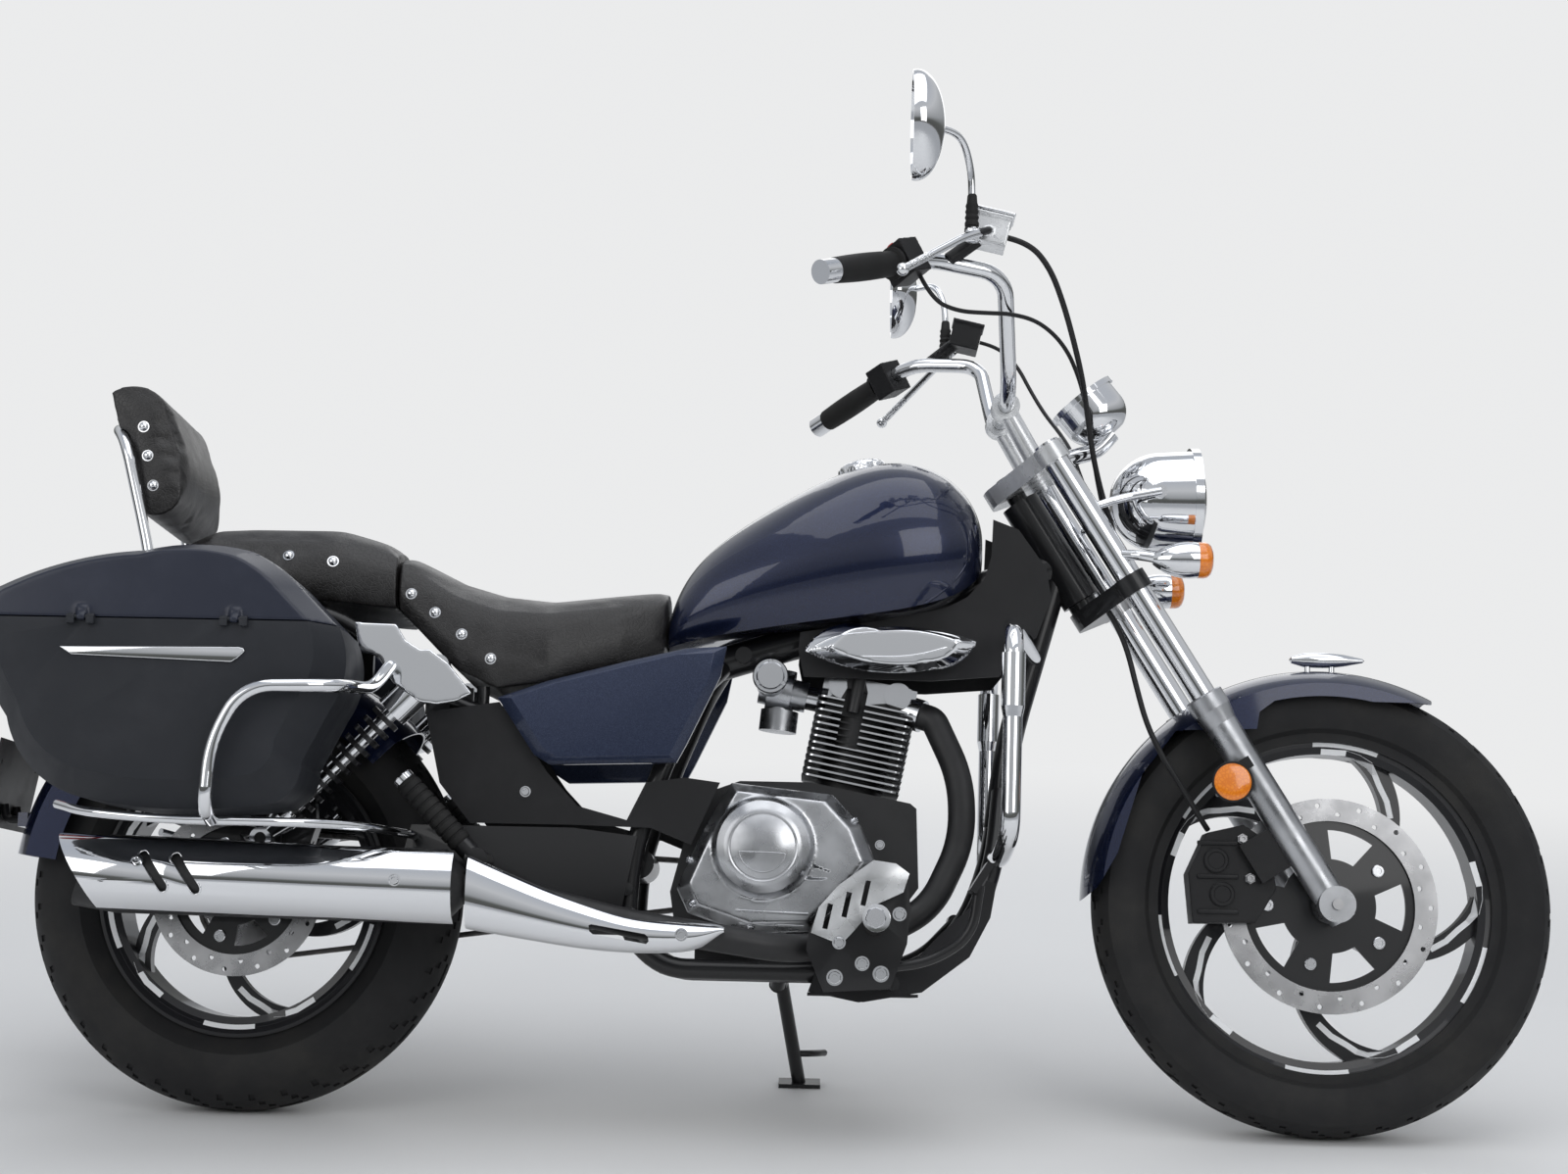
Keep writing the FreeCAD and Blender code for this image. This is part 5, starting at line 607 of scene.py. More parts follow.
def mirrored(piece):
    """The left-hand image of a right-hand piece."""
    copy = another(piece)
    copy.data.transform(Matrix.Scale(-1, 4, (0, 1, 0)))
    with editing(copy):
        face_outwards()
    return copy


def both(piece):
    """A right-hand piece and its left-hand image, as one."""
    return joined([piece, mirrored(piece)])


def softened(node, name, material, body, slot, grid, passes):
    """The plain piece as a casting with rounded edges, remeshed finely and smoothed, in its place."""
    piece = merged_copy(node, name)
    piece.data.remesh_voxel_size = grid * MM
    only(piece)
    bpy.ops.object.voxel_remesh()
    apply(piece, "SMOOTH", factor=0.5, iterations=passes)
    smooth(piece, 60)
    finish(piece, name, material, body, slot, AS_IT_IS)
    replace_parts(piece, node)
    return piece


def eased(node, name, material, body, slot, width, angle=30):
    """The plain piece with its sharp edges bevelled, in its place."""
    piece = merged_copy(node, name)
    with editing(piece):
        bpy.ops.mesh.dissolve_limited(angle_limit=math.radians(1.5))
    apply(piece, "BEVEL", width=width * MM, segments=3, limit_method="ANGLE",
          angle_limit=math.radians(angle), harden_normals=False)
    smooth(piece)
    finish(piece, name, material, body, slot, AS_IT_IS)
    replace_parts(piece, node)
    return piece


# The wheels

WHEELS = {
    # body, middle, rim's radius, disc carrier's radius, disc button's place: to the side and out
    "front": ("front_wheel", FRONT_AXLE, 242, 118, -63.6, 84),
    "rear": ("rear_wheel", REAR_AXLE, 204.5, 91, -76.5, 68),
}
# Painted lines on the wheels: (radius, degrees) along a spoke of the front wheel, and arcs on the rim.
SPOKE_LINE = [(161, 340), (178, 346), (192, 352), (204, 355.5), (212, 359), (217, 364), (219, 369),
              (218, 378)]
RIM_LINES = [(70, 93), (130, 148), (184, 206), (256, 278), (326, 347)]


def ribbon(skin, middle, path, side, width=8.0):
    """A painted line on a wheel: two edges laid on its surface, a little proud of it."""
    near, far = [], []
    for i, (radius, angle) in enumerate(path):
        before, after = path[max(i - 1, 0)], path[min(i + 1, len(path) - 1)]
        point, first, last = (Vector((r * math.cos(math.radians(a)), r * math.sin(math.radians(a))))
                              for r, a in (path[i], before, after))
        along = (last - first).normalized()
        for edge, way in ((near, 1), (far, -1)):
            spot = point + Vector((-along.y, along.x)) * way * width / 2
            at, normal = landing(skin, middle.x + spot.x, middle.z + spot.y, side, 200)
            if at is None:
                return None
            edge.append(put(*(at + normal * 0.5)))
    count = len(path)
    return built("line", near + far, [(i, i + 1, count + i + 1, count + i) for i in range(count - 1)])


for end, (body, middle, rim, carrier, across, out) in WHEELS.items():
    skin = surface(nodes[end + "_cast_wheel"])
    lines = []
    for side in (-1, 1):
        for turn in range(5):
            share = rim / WHEELS["front"][2]
            path = [(radius * share, angle + 72 * turn) for radius, angle in SPOKE_LINE]
            lines.append(ribbon(skin, middle, path, side))
        for start, stop in RIM_LINES:
            steps = [start + (stop - start) * i / 16 for i in range(17)]
            lines.append(ribbon(skin, middle, [(rim - 14, angle) for angle in steps], side, 6.5))
    lines = joined([line for line in lines if line])
    apply(lines, "SOLIDIFY", thickness=0.3 * MM, offset=0)
    finish(lines, end + "_wheel_lines", white_line, body, "wheel_black", AS_IT_IS)
    trim(nodes[end + "_brake_disc"], carrier_black,
         lambda at, way: math.hypot(at.x - middle.x, at.z - middle.z) < carrier)


def tyre_section(outside, rim, width):
    """Half of a tyre's section from the middle of its tread to its bead: (across, out)."""
    shoulder = width / 2 - 4
    treads = [(y, outside - TYRE_CROWN + math.sqrt(TYRE_CROWN ** 2 - y ** 2))
              for y in (shoulder * i / 6 for i in range(7))]
    low = treads[-1][1]
    bulge = (rim + low) / 2 + 4
    seat = width * 0.5 - 13 if outside > 310 else width * 0.5 - 24
    side = [(width / 2 - 0.4, (low + bulge) / 2), (width / 2, bulge),
            (width / 2 - 1.6, (bulge * 2 + rim) / 3), (seat + 7, rim + 7), (seat, rim + 1), (seat, rim - 12)]
    return treads + side


def tread_tyre(end, body, middle, rim, outside, width, blocks):
    """A tyre spun from its section, with grooves pressed into its tread."""
    half = tyre_section(outside, rim, width)
    ring = [(-y, r) for y, r in reversed(half)] + half[1:]
    steps = blocks * 4
    points, faces = [], []
    for i in range(steps):
        angle = 2 * math.pi * i / steps
        for y, r in ring:
            points.append((r * math.cos(angle) * MM, y * MM, r * math.sin(angle) * MM))
    size = len(ring)
    for i in range(steps):
        for j in range(size):
            a, b = i * size + j, i * size + (j + 1) % size
            after = (i + 1) % steps * size
            faces.append((a, b, after + (j + 1) % size, after + j))
    piece = built(end + "_tread", points, faces)
    with editing(piece):
        face_outwards()
        bpy.ops.mesh.select_all(action="DESELECT")
    crown = size // 2
    for i in range(steps):
        for j in range(size):
            off = j + 0.5 - crown
            lane = int(abs(off))
            across = lane in (2, 3, 4) and (i + lane) % 4 == (0 if off > 0 else 2)
            round_the_wheel = lane == 1 and (i % 8 < 5) == (off > 0)
            if lane < 5 and (across or round_the_wheel):
                piece.data.polygons[i * size + j].select = True
    only(piece)
    bpy.ops.object.mode_set(mode="EDIT")
    bpy.ops.mesh.select_mode(type="FACE")
    bpy.ops.mesh.inset(thickness=0.0012, use_boundary=True)
    bpy.ops.mesh.extrude_region_shrink_fatten(TRANSFORM_OT_shrink_fatten={"value": -0.0024})
    bpy.ops.object.mode_set(mode="OBJECT")
    smooth(piece, 32)
    finish(piece, end + "_tread", tyre_black, body, "tyre", PARKED @ Matrix.Translation(middle * MM))
    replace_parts(piece, end + "_tyre")


tread_tyre("front", "front_wheel", FRONT_AXLE, 242, 318.5, 100, 44)
tread_tyre("rear", "rear_wheel", REAR_AXLE, 204.5, 307.5, 130, 40)

# Bodywork and castings with their edges rounded

softened("engine_covers", "engine_castings", cover_alloy, "chassis", "cast_alloy", 2.1, 14)
softened("chrome_trim", "bright_trim", chrome, "chassis", "chrome", 2.0, 10)
softened("front_caliper", "caliper_casting", caliper_black, "steering", "frame_black", 1.8, 3)
eased("side_covers", "side_cover_skins", cover_blue, "chassis", "cover_blue", 6)
eased("cases", "case_bodies", case_charcoal, "chassis", "case_charcoal", 9, 25)
softened("right_lid", "right_lid_skin", lid_blue, "right_lid", "case_blue", 2.5, 12)
softened("left_lid", "left_lid_skin", lid_blue, "left_lid", "case_blue", 2.5, 12)

# Second finishes on the plain pieces

TILT = math.radians(11)
CYLINDER_FOOT = Vector((853, 0, 470))
CYLINDER_UP = Vector((math.sin(TILT), 0, math.cos(TILT)))
CYLINDER_AHEAD = Vector((math.cos(TILT), 0, -math.sin(TILT)))


def on_cylinder(at):
    """Ahead of, beside and above the cylinder's foot, along its own axes."""
    out = at - CYLINDER_FOOT
    return out.dot(CYLINDER_AHEAD), out.y, out.dot(CYLINDER_UP)


def fin_edge(at, way):
    ahead, beside, up = on_cylinder(at)
    return abs(way.dot(CYLINDER_UP)) < 0.5 and (abs(ahead) > 52 or abs(beside) > 58)


def bare_head(at, way):
    ahead, beside, up = on_cylinder(at)
    plug = -36 < ahead < 2 and beside < -38
    return not plug and (up > 125 or fin_edge(at, way))


trim(nodes["cylinder"], bright_alloy, fin_edge)
trim(nodes["cylinder_head"], bright_alloy, bare_head)
foot_plates = eased("footrests", "foot_plates", frame_black, "chassis", "frame_black", 0.9)
trim(foot_plates, silver_paint, lambda at, way: 203.5 < abs(at.y) < 207.5 and at.x > 700 and at.z > 245)
trim(foot_plates, chrome, lambda at, way: abs(at.y) > 294 and at.x > 700)
trim(foot_plates, rubber_black, lambda at, way: 211 < abs(at.y) < 294 and at.x > 700)
trim(nodes["carburettor"], chrome, lambda at, way: at.y < -60)

SHOCK_LOW, SHOCK_HIGH = Vector((48, -152, 375)), Vector((283, -152, 618))
SHOCK_WAY = (SHOCK_HIGH - SHOCK_LOW).normalized()


def coil(at, way):
    out = Vector((at.x, -abs(at.y), at.z)) - SHOCK_LOW
    along = out.dot(SHOCK_WAY)
    return 54 < along < (SHOCK_HIGH - SHOCK_LOW).length - 93 and (out - SHOCK_WAY * along).length > 12.5


trim(nodes["rear_shocks"], frame_black, coil)
trim(nodes["drive_chain"], dark_steel, lambda at, way: abs(way.y) < 0.5)

# Bolts and studs

socket_bolt = stack([(0, 8.4), (1.4, 8.4), (1.4, 6.4), (5.4, 6.4), (6.4, 5.6), (6.4, 3.2), (3.4, 3.0)], 24)
BOLTS = [
    # size, x, z, on which node
    (1.25, 919.4, 289.1, "footrests"), (1.2, 839.4, 249.8, "footrests"), (1.3, 870.7, 222.8, "footrests"),
    (1.45, 895.7, 209.5, "footrests"), (1.45, 834.5, 203.5, "footrests"),
    (1.1, -93.5, 335.7, "exhaust_shields"), (1.1, 251.3, 317.3, "exhaust_shields"),
    (1.15, 631.0, 254.6, "exhaust_shields"), (1.0, 406.3, 448.2, "black_panels"),
    (0.9, 895.9, 388.8, "crankcase"), (0.8, 860.0, 418.4, "engine_covers"),
    (0.8, 873.0, 338.4, "engine_covers"), (0.8, 640.0, 300.0, "engine_covers"),
    (0.8, 720.0, 270.0, "engine_covers"), (0.8, 634.0, 360.0, "engine_covers"),
]
bolts = []
bolt_skins = {node: surface(nodes[node]) for node in sorted({node for size, x, z, node in BOLTS})}
for size, x, z, node in BOLTS:
    at, normal = landing(bolt_skins[node], x, z)
    bolt = another(socket_bolt)
    bolt.data.transform(Matrix.Scale(size * 0.9, 4))
    bolts.append(set_at(bolt, at - normal * 0.4, normal))
discard(socket_bolt)
finish(joined(bolts), "socket_bolts", chrome, "chassis", "chrome")

peg_cap = stack([(0, 13), (5, 14), (12, 14), (14, 12.4)], 8)
set_at(peg_cap, (884.6, -300, 279), (0, -1, 0.05))
finish(both(peg_cap), "peg_caps", bright_alloy, "chassis", "polished_alloy")

# The cases' bright strips

STRIP = [(-177, 603.5), (-160, 593), (49, 586.5), (57, 592), (66, 601), (64, 605), (58, 606.5)]
strip = set_at(slab(STRIP, 3.2, 1.2), (0, -380.4, 0))
finish(both(strip), "case_strips", chrome, "chassis", "chrome")


# Bars, and beads laid along a surface

def pipe(points, radius, name="pipe"):
    """A round bar along a smooth line, as a mesh. Points are upright millimetres."""
    only(curved(name, [Vector(point) * MM for point in points], radius, 3, 6))
    bpy.ops.object.convert(target="MESH")
    piece = bpy.context.object
    smooth(piece, 60)
    return piece


def bead(skin, path, radius, side=-1, proud=0.0):
    """A round bead laid along a surface, through points seen from the side."""
    spots = []
    for x, z in path:
        at, normal = landing(skin, x, z, side)
        if at is not None:
            spots.append(at + normal * proud)
    return pipe(spots, radius, "bead")


# Hoses and cables, along the routes that their plain tubes have

BRAKE_ROUTE = [(128.7, -262, 371.5), (150, -262, 350.4), (158, -254, 308), (151, -238, 258),
               (143, -203, 210), (137, -155, 168), (127, -106, 128), (112, -74, 84), (98, -57, 36),
               (86, -48, -14), (74, -42, -64), (74, -42, -94.7)]
CLUTCH_ROUTE = [(x, -y, z) for x, y, z in BRAKE_ROUTE]
THROTTLE_ROUTE = [(-8, -300, 376.1), (-11.2, -301.3, 340.3), (13, -283, 314), (50, -256, 298),
                  (88, -226, 284), (122, -190, 262), (143, -150, 224), (146, -106, 180),
                  (136, -66, 132), (118, -38, 84), (100, -25, 34), (84, -21, -18), (68, -19, -64),
                  (68, -19, -94.7)]
LOWER_ROUTE = [(14, -62, -121.3), (14, -62, -145), (5, -74, -184), (-14, -92, -232),
               (-32, -105, -284), (-38, -108.5, -334), (-37, -107, -378), (-36, -98, -412),
               (-34, -85, -436), (-31.8, -75, -451.4)]
CORDS = [
    # node, route, radius, length in metres
    ("brake_hose", BRAKE_ROUTE, 4, 0.555),
    ("clutch_cable", CLUTCH_ROUTE, 3, 0.555),
    ("throttle_cable", THROTTLE_ROUTE, 3, 0.654),
    ("lower_brake_hose", LOWER_ROUTE, 4, 0.351),
]
for node, route, radius, length in CORDS:
    spots = [STEERING @ (Vector(point) * MM) for point in route]
    line = curved(node + "_line", spots, radius, 4, 10)
    line.data.materials.append(hose_black)
    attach(line, "steering")
    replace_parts(line, node)
    2 * radius * MM

# Mirrors: an egg-shaped shell with a set-in glass, on a bent stem with a rubber boot

MIRROR_AT = Vector((-200, -380, 498))
MIRROR_WIDE, MIRROR_TALL = 59, 75


def mirror_shell():
    """The right mirror's shell and glass, its glass towards the rider."""
    lone()
    bpy.ops.mesh.primitive_uv_sphere_add(segments=48, ring_count=32, radius=1)
    piece = bpy.context.object
    for vertex in piece.data.vertices:
        x, y, z = vertex.co
        pinch = 1 - 0.26 * max(-z, 0) ** 1.5 - 0.10 * max(z, 0) ** 2
        vertex.co = (x * 38 * MM, y * MIRROR_WIDE * pinch * MM, z * MIRROR_TALL * MM)
    piece.data.transform(Matrix.Translation((-16 * MM, 0, 0)))
    with editing(piece):
        bpy.ops.mesh.bisect(plane_co=(-21.5 * MM, 0, 0), plane_no=(-1, 0, 0), clear_outer=True,
                            use_fill=True)
        bpy.ops.mesh.inset(thickness=0.004, depth=0)
        bpy.ops.mesh.inset(thickness=0.0015, depth=-0.003)
    smooth(piece, 40)
    return piece


shell = mirror_shell()
shell.data.materials.append(chrome)
shell.data.materials.append(mirror_glass)
for face in shell.data.polygons:
    if face.normal.x < -0.95 and face.center.x < -18.2 * MM and face.area > 0.001:
        face.material_index = 1
shell.data.transform(Matrix.Translation(MIRROR_AT * MM))
stem = pipe([(-137, -303, 386), (-137, -304, 430), (-139, -312, 462), (-150, -332, 494), (-168, -352, 502),
             (-190, -368, 500)], 5)
boot = set_at(stack([(0, 9.4), (4, 9.8), (8, 8.2), (12, 9.6), (16, 8.0), (20, 9.2), (24, 7.8), (28, 8.8),
                     (32, 7.2), (42, 6.4), (44, 5.2)], 28), (-137, -303, 385.6), (0, -0.05, 1))
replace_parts(finish(both(shell), "mirror_shells", None, "steering", "chrome", LEVEL), "mirrors")
finish(both(stem), "mirror_stems", chrome, "steering", "chrome", LEVEL)
finish(both(boot), "mirror_boots", rubber_black, "steering", "chrome", LEVEL)

# The hand controls: black castings, a bright reservoir and levers

STEER_BACK = STEERING.inverted()
TANK_TURN = Matrix.Rotation(math.radians(44.7), 3, "Y")
TANK_AT = Vector((112, -262, 388))
LEVER = [Vector((112, -262, 392)), Vector((62, -332, 386)), Vector((-46, -416, 369))]


def off_line(at, start, end):
    way = end - start
    share = min(max((at - start).dot(way) / way.length_squared, 0), 1)
    return (at - start - way * share).length


def on_lever(at, way):
    right = Vector((at.x, -abs(at.y), at.z))
    off = min(off_line(right, LEVER[0], LEVER[1]), off_line(right, LEVER[1], LEVER[2]))
    return right.x < 92 and off < 11


def on_reservoir(at, way):
    inside = TANK_TURN.transposed() @ (at - TANK_AT)
    return abs(inside.x) < 27 and abs(inside.y) < 26 and inside.z > -20


hand_controls = softened("bar_controls", "hand_controls", control_black, "steering", "control_black",
                         1.8, 3)
trim(hand_controls, silver_paint, on_reservoir, STEER_BACK)
trim(hand_controls, chrome, on_lever, STEER_BACK)
lid_plate = slab([(-27, -25), (27, -25), (27, 25), (-27, 25)], 4.5, 2.0)
lid_plate.data.transform(Matrix.Rotation(math.radians(-90), 4, "X"))
screw = stack([(0, 3.6), (1.6, 3.6), (2.4, 2.8)], 16)
lid_screws = [set_at(another(screw), (x, 0, 26.4)) for x in (-19, 19)]
lid_parts = joined([set_at(lid_plate, (0, 0, 24.2))] + lid_screws)
lid_parts.data.transform(Matrix.Translation(TANK_AT * MM) @ TANK_TURN.to_4x4())
finish(lid_parts, "reservoir_lid", chrome, "steering", "chrome", STEERING)
BAR_END = Vector((-123, -409, 416))
INWARD = (Vector((20, -272, 398)) - BAR_END).normalized()
switch_top = BAR_END + INWARD * 146 + Vector((-4, 2, 25))
rocker = set_at(stack([(0, 7), (2, 7.4), (5, 6.6), (6, 4)], 20), switch_top, (-0.3, 0, 1))
finish(rocker, "stop_switch", red_button, "steering", "control_black", STEERING)

# The reflectors' rims and lenses, on both fork legs

reflector_rim = stack([(0, 27.5), (3.5, 28.6), (5, 27.6), (5, 25.8), (2, 25.6)], 48)
set_at(reflector_rim, (22, -128.5, -412), TO_THE_RIGHT)
finish(both(reflector_rim), "reflector_rims", control_black, "steering", "amber", STEERING)
reflector_lens = stack([(0, 25.4), (3, 25.4), (4.4, 22), (5, 12), (5.2, 2)], 48)
set_at(reflector_lens, (22, -129.5, -412), TO_THE_RIGHT)
finish(both(reflector_lens), "reflector_lenses", amber, "steering", "amber", STEERING)
clothe("fork_reflectors", control_black)

# The brake discs' buttons and the caliper's bosses

button = stack([(-1, 8.5), (3.5, 8.5), (4.5, 7.4), (4.5, 4.5), (2.5, 4.2)], 20)
for end, (body, middle, rim, carrier, across, out) in WHEELS.items():
    buttons = []
    for turn in range(5):
        angle = math.radians(36 + 72 * turn)
        spot = middle + Vector((out * math.cos(angle), across, out * math.sin(angle)))
        buttons.append(set_at(another(button), spot, TO_THE_RIGHT))
    finish(joined(buttons), end + "_disc_buttons", bright_alloy, body, "steel")
discard(button)

CALIPER_FACE = -89.9
caliper_parts = []
boss = stack([(-2, 17), (2.5, 17), (4, 15.5), (4, 12), (2.6, 11)], 32)
for x, z in ((-158, 58), (-150, 12)):
    caliper_parts.append(set_at(another(boss), FRONT_AXLE + Vector((x, CALIPER_FACE, z)), TO_THE_RIGHT))
for z in (-12, 36, 82):
    rib = slab([(-184, z - 3), (-128, z - 3), (-128, z + 3), (-184, z + 3)], 4, 1.4)
    caliper_parts.append(set_at(rib, FRONT_AXLE + Vector((0, CALIPER_FACE + 1, 0))))
finish(joined(caliper_parts), "caliper_bosses", caliper_black, "steering", "frame_black")
caliper_bolts = []
hex_bolt = stack([(-2, 7.5), (2.5, 7.5), (2.5, 6.2), (7, 6.2), (7.8, 5.4), (7.8, 3), (5, 2.8)], 6)
for x, z in ((-122, 88), (-112, 34)):
    caliper_bolts.append(set_at(another(hex_bolt), FRONT_AXLE + Vector((x, CALIPER_FACE, z)), TO_THE_RIGHT))
discard(boss, hex_bolt)
trim(nodes["fork_sliders"], caliper_black,
     lambda at, way: at.x < 32 and -560 < at.z < -480 and at.y < 0, STEER_BACK)
finish(joined(caliper_bolts), "caliper_bolts", steel, "steering", "steel")

# The exhaust's shields: the main one with rims round its slots, the front one as a rounded cover

silencer_shield = eased("exhaust_shields", "silencer_shield", chrome, "chassis", "chrome", 0.8)
with editing(silencer_shield):
    bpy.ops.mesh.bisect(plane_co=put(334, 0, 0), plane_no=(1, 0, 0), clear_outer=True)
shield_skin = surface(silencer_shield)
slot_rims = []
SLOT_HALF, SLOT_ROUND, SLOT_LEAN = 24.5, 7.6, math.radians(55)
for x, z in ((-72, 322), (-28, 320)):
    capsule = []
    for step in range(25):
        angle = 2 * math.pi * step / 24
        long = SLOT_HALF * (1 if math.cos(angle) > 0 else -1) + SLOT_ROUND * math.cos(angle)
        tall = SLOT_ROUND * math.sin(angle)
        capsule.append((x + long * math.cos(SLOT_LEAN) + tall * math.sin(SLOT_LEAN),
                        z - long * math.sin(SLOT_LEAN) + tall * math.cos(SLOT_LEAN)))
    slot_rims.append(bead(shield_skin, capsule, 1.5))
finish(joined(slot_rims), "slot_rims", chrome, "chassis", "chrome")

FRONT_SHIELD = [
    # ahead of the rear axle, lower edge, upper edge
    (342, 258, 353), (370, 254, 341), (410, 248, 325), (450, 242, 309), (500, 235, 293), (556, 231, 276),
    (600, 232, 272), (640, 234, 270), (664, 243, 269), (680, 254, 268), (687, 259, 264),
]
ROWS = 13
points, faces = [], []
for x, low, high in FRONT_SHIELD:
    for row in range(ROWS):
        around = math.pi * (row / (ROWS - 1) - 0.5)
        points.append((x * MM, (-212 - 21 * math.cos(around)) * MM,
                       ((low + high) / 2 + (high - low) / 2 * math.sin(around)) * MM))
for i in range(len(FRONT_SHIELD) - 1):
    for row in range(ROWS - 1):
        a = i * ROWS + row
        faces.append((a, a + ROWS, a + ROWS + 1, a + 1))
front_shield = built("front_shield", points, faces)
apply(front_shield, "SUBSURF", levels=2, render_levels=2)
apply(front_shield, "SOLIDIFY", thickness=2 * MM, offset=1)
SLOT = [(-40, -4), (-36, -7), (36, -7), (40, -3), (40, 3), (36, 6), (-36, 6), (-40, 4)]
slot_way = math.radians(9)
cutter = slab([(x * math.cos(slot_way) - z * math.sin(slot_way) + 548, z - x * math.sin(slot_way) + 254)
               for x, z in SLOT], 60)
cutter.data.transform(Matrix.Translation((0, -190 * MM, 0)))
apply(front_shield, "BOOLEAN", operation="DIFFERENCE", object=cutter, solver="EXACT")
discard(cutter)
smooth(front_shield, 40)
finish(front_shield, "front_shield", chrome, "chassis", "chrome")

# The tank's seam, the teardrops' rims, the clutch cover and the engine covers' ribs

tank_skin = surface(nodes["fuel_tank"])
TANK_SEAM = [(612, 664), (662, 671), (730, 681), (811, 696), (893, 708), (954, 726), (994, 755), (1017, 796),
             (1025, 842)]
seams = [bead(tank_skin, TANK_SEAM, 2.6, side, 0.4) for side in (-1, 1)]
finish(joined(seams), "tank_seam", navy, "chassis", "paint_navy")
trim_skin = surface(bpy.data.objects["bright_trim"])
TEAR_RIM = [(801.6, 661.3), (817, 670), (839.6, 675.8), (880, 680), (921.3, 682.7), (970, 684), (1003, 681),
            (1009, 675), (989.5, 661.9), (935.3, 646), (867.3, 645), (819.5, 651), (801.6, 661.3)]
rims = [bead(trim_skin, TEAR_RIM, 1.7, side) for side in (-1, 1)]
finish(joined(rims), "teardrop_rims", chrome, "chassis", "chrome")
clutch_cover = stack([(-4, 69.6), (6, 70.4), (9.6, 66.6), (20, 62.8), (25, 54), (26.8, 50.6), (27.4, 47.4),
                      (26.4, 45.6), (26.4, 43.2), (27.6, 41.6), (27.8, 4)], 72)
COVER_AT = (735, -136, 378)
set_at(clutch_cover, COVER_AT, TO_THE_RIGHT)
finish(clutch_cover, "clutch_cover", cover_alloy, "chassis", "cast_alloy")
cover_skin = surface(clutch_cover)
casting_skin = surface(bpy.data.objects["engine_castings"])
MOON_RADIUS, MOON_DROP = 33, 2
moon = [(COVER_AT[0] + MOON_RADIUS * math.cos(math.radians(a)),
         COVER_AT[2] - MOON_DROP + MOON_RADIUS * math.sin(math.radians(a))) for a in range(190, 351, 10)]
cover_lines = [bead(cover_skin, moon + moon[:1], 1.0),
               bead(casting_skin, [(699, 292), (730, 291), (798, 289)], 2.2),
               bead(casting_skin, [(705, 275), (740, 274), (792, 273)], 2.0)]
finish(joined(cover_lines), "cover_lines", cover_alloy, "chassis", "cast_alloy")

# The carburettor's round cap, with its screws

carb_skin = surface(nodes["carburettor"])
at, way = landing(carb_skin, 739.8, 620.5)
carb_cap = stack([(-4, 25), (4, 25), (6, 23.5), (6, 20), (9, 18), (9, 3)], 40)
screws = []
for turn in range(3):
    angle = math.radians(90 + 120 * turn)
    screws.append(set_at(another(screw), (20.5 * math.cos(angle), 20.5 * math.sin(angle), 5.6)))
cap_parts = set_at(joined([carb_cap] + screws), at, TO_THE_RIGHT)
finish(cap_parts, "carburettor_cap", bright_alloy, "chassis", "cast_alloy")
discard(screw)

# The stowed pegs' rubber sleeves and bright end bolts

PEG_FOOT, PEG_WAY = Vector((348, -186, 352)), Vector((-104, -8, 108)).normalized()
sleeve_rings = [(28, 14.4), (30, 16.2)]
for band in range(9):
    start = 31 + band * 12
    sleeve_rings += [(start, 16.4), (start + 8, 16.4), (start + 9, 14.8), (start + 11, 14.8)]
sleeve_rings += [(140, 16.2), (142, 14)]
sleeve = set_at(stack(sleeve_rings, 28), PEG_FOOT, PEG_WAY)
finish(both(sleeve), "peg_sleeves", rubber_black, "chassis", "rubber")
peg_end = set_at(stack([(142, 15), (149.6, 15), (151, 13.6), (151, 9), (149.4, 8.4), (149.4, 2)], 28),
                 PEG_FOOT, PEG_WAY)
finish(both(peg_end), "peg_ends", chrome, "chassis", "chrome")

# The instrument's dial: a black face, marks and a needle

DIAL_AT, DIAL_WAY = Vector((84, 0, 176)), Vector((-0.62, 0, 0.78))
LEVEL_TURN = Vector((0, 0, 1)).rotation_difference(DIAL_WAY).to_matrix().to_4x4()
DIAL = LEVEL @ Matrix.Translation(DIAL_AT * MM) @ LEVEL_TURN
face = stack([(58.5, 44.6), (60, 44.4), (60, 2)], 64)
finish(face, "dial_face", dial_black, "steering", "control_black", DIAL)
marks = []
for tick in range(19):
    angle = math.radians(-135 + 15 * tick)
    long = 8 if tick % 2 == 0 else 5
    mark = slab([(-0.7, 40 - long), (0.7, 40 - long), (0.7, 40), (-0.7, 40)], 0.5)
    mark.data.transform(Matrix.Translation((0, 0, 60.4 * MM)) @ Matrix.Rotation(angle, 4, "Z")
                        @ Matrix.Rotation(math.radians(-90), 4, "X"))
    marks.append(mark)
finish(joined(marks), "dial_marks", white_line, "steering", "control_black", DIAL)
needle = slab([(-1.6, -8), (1.6, -8), (0.5, 34), (-0.5, 34)], 0.8)
needle.data.transform(Matrix.Translation((0, 0, 62.2 * MM)) @ Matrix.Rotation(math.radians(120), 4, "Z")
                      @ Matrix.Rotation(math.radians(-90), 4, "X"))
boss = stack([(60, 5), (63, 5), (63.6, 4)], 24)
finish(joined([needle, boss]), "dial_needle", red_button, "steering", "control_black", DIAL)

# The front turn lamps' amber ends

lamp_end = stack([(62, 25.3), (70, 25.3), (75, 24.2), (79, 20.5), (81.6, 14), (82.6, 5)], 40)
set_at(lamp_end, (128, -128, -32), (1, 0, 0))
finish(both(lamp_end), "turn_lenses", amber, "steering", "amber", LEVEL)

# The chain's plates, at both sides of its plain band

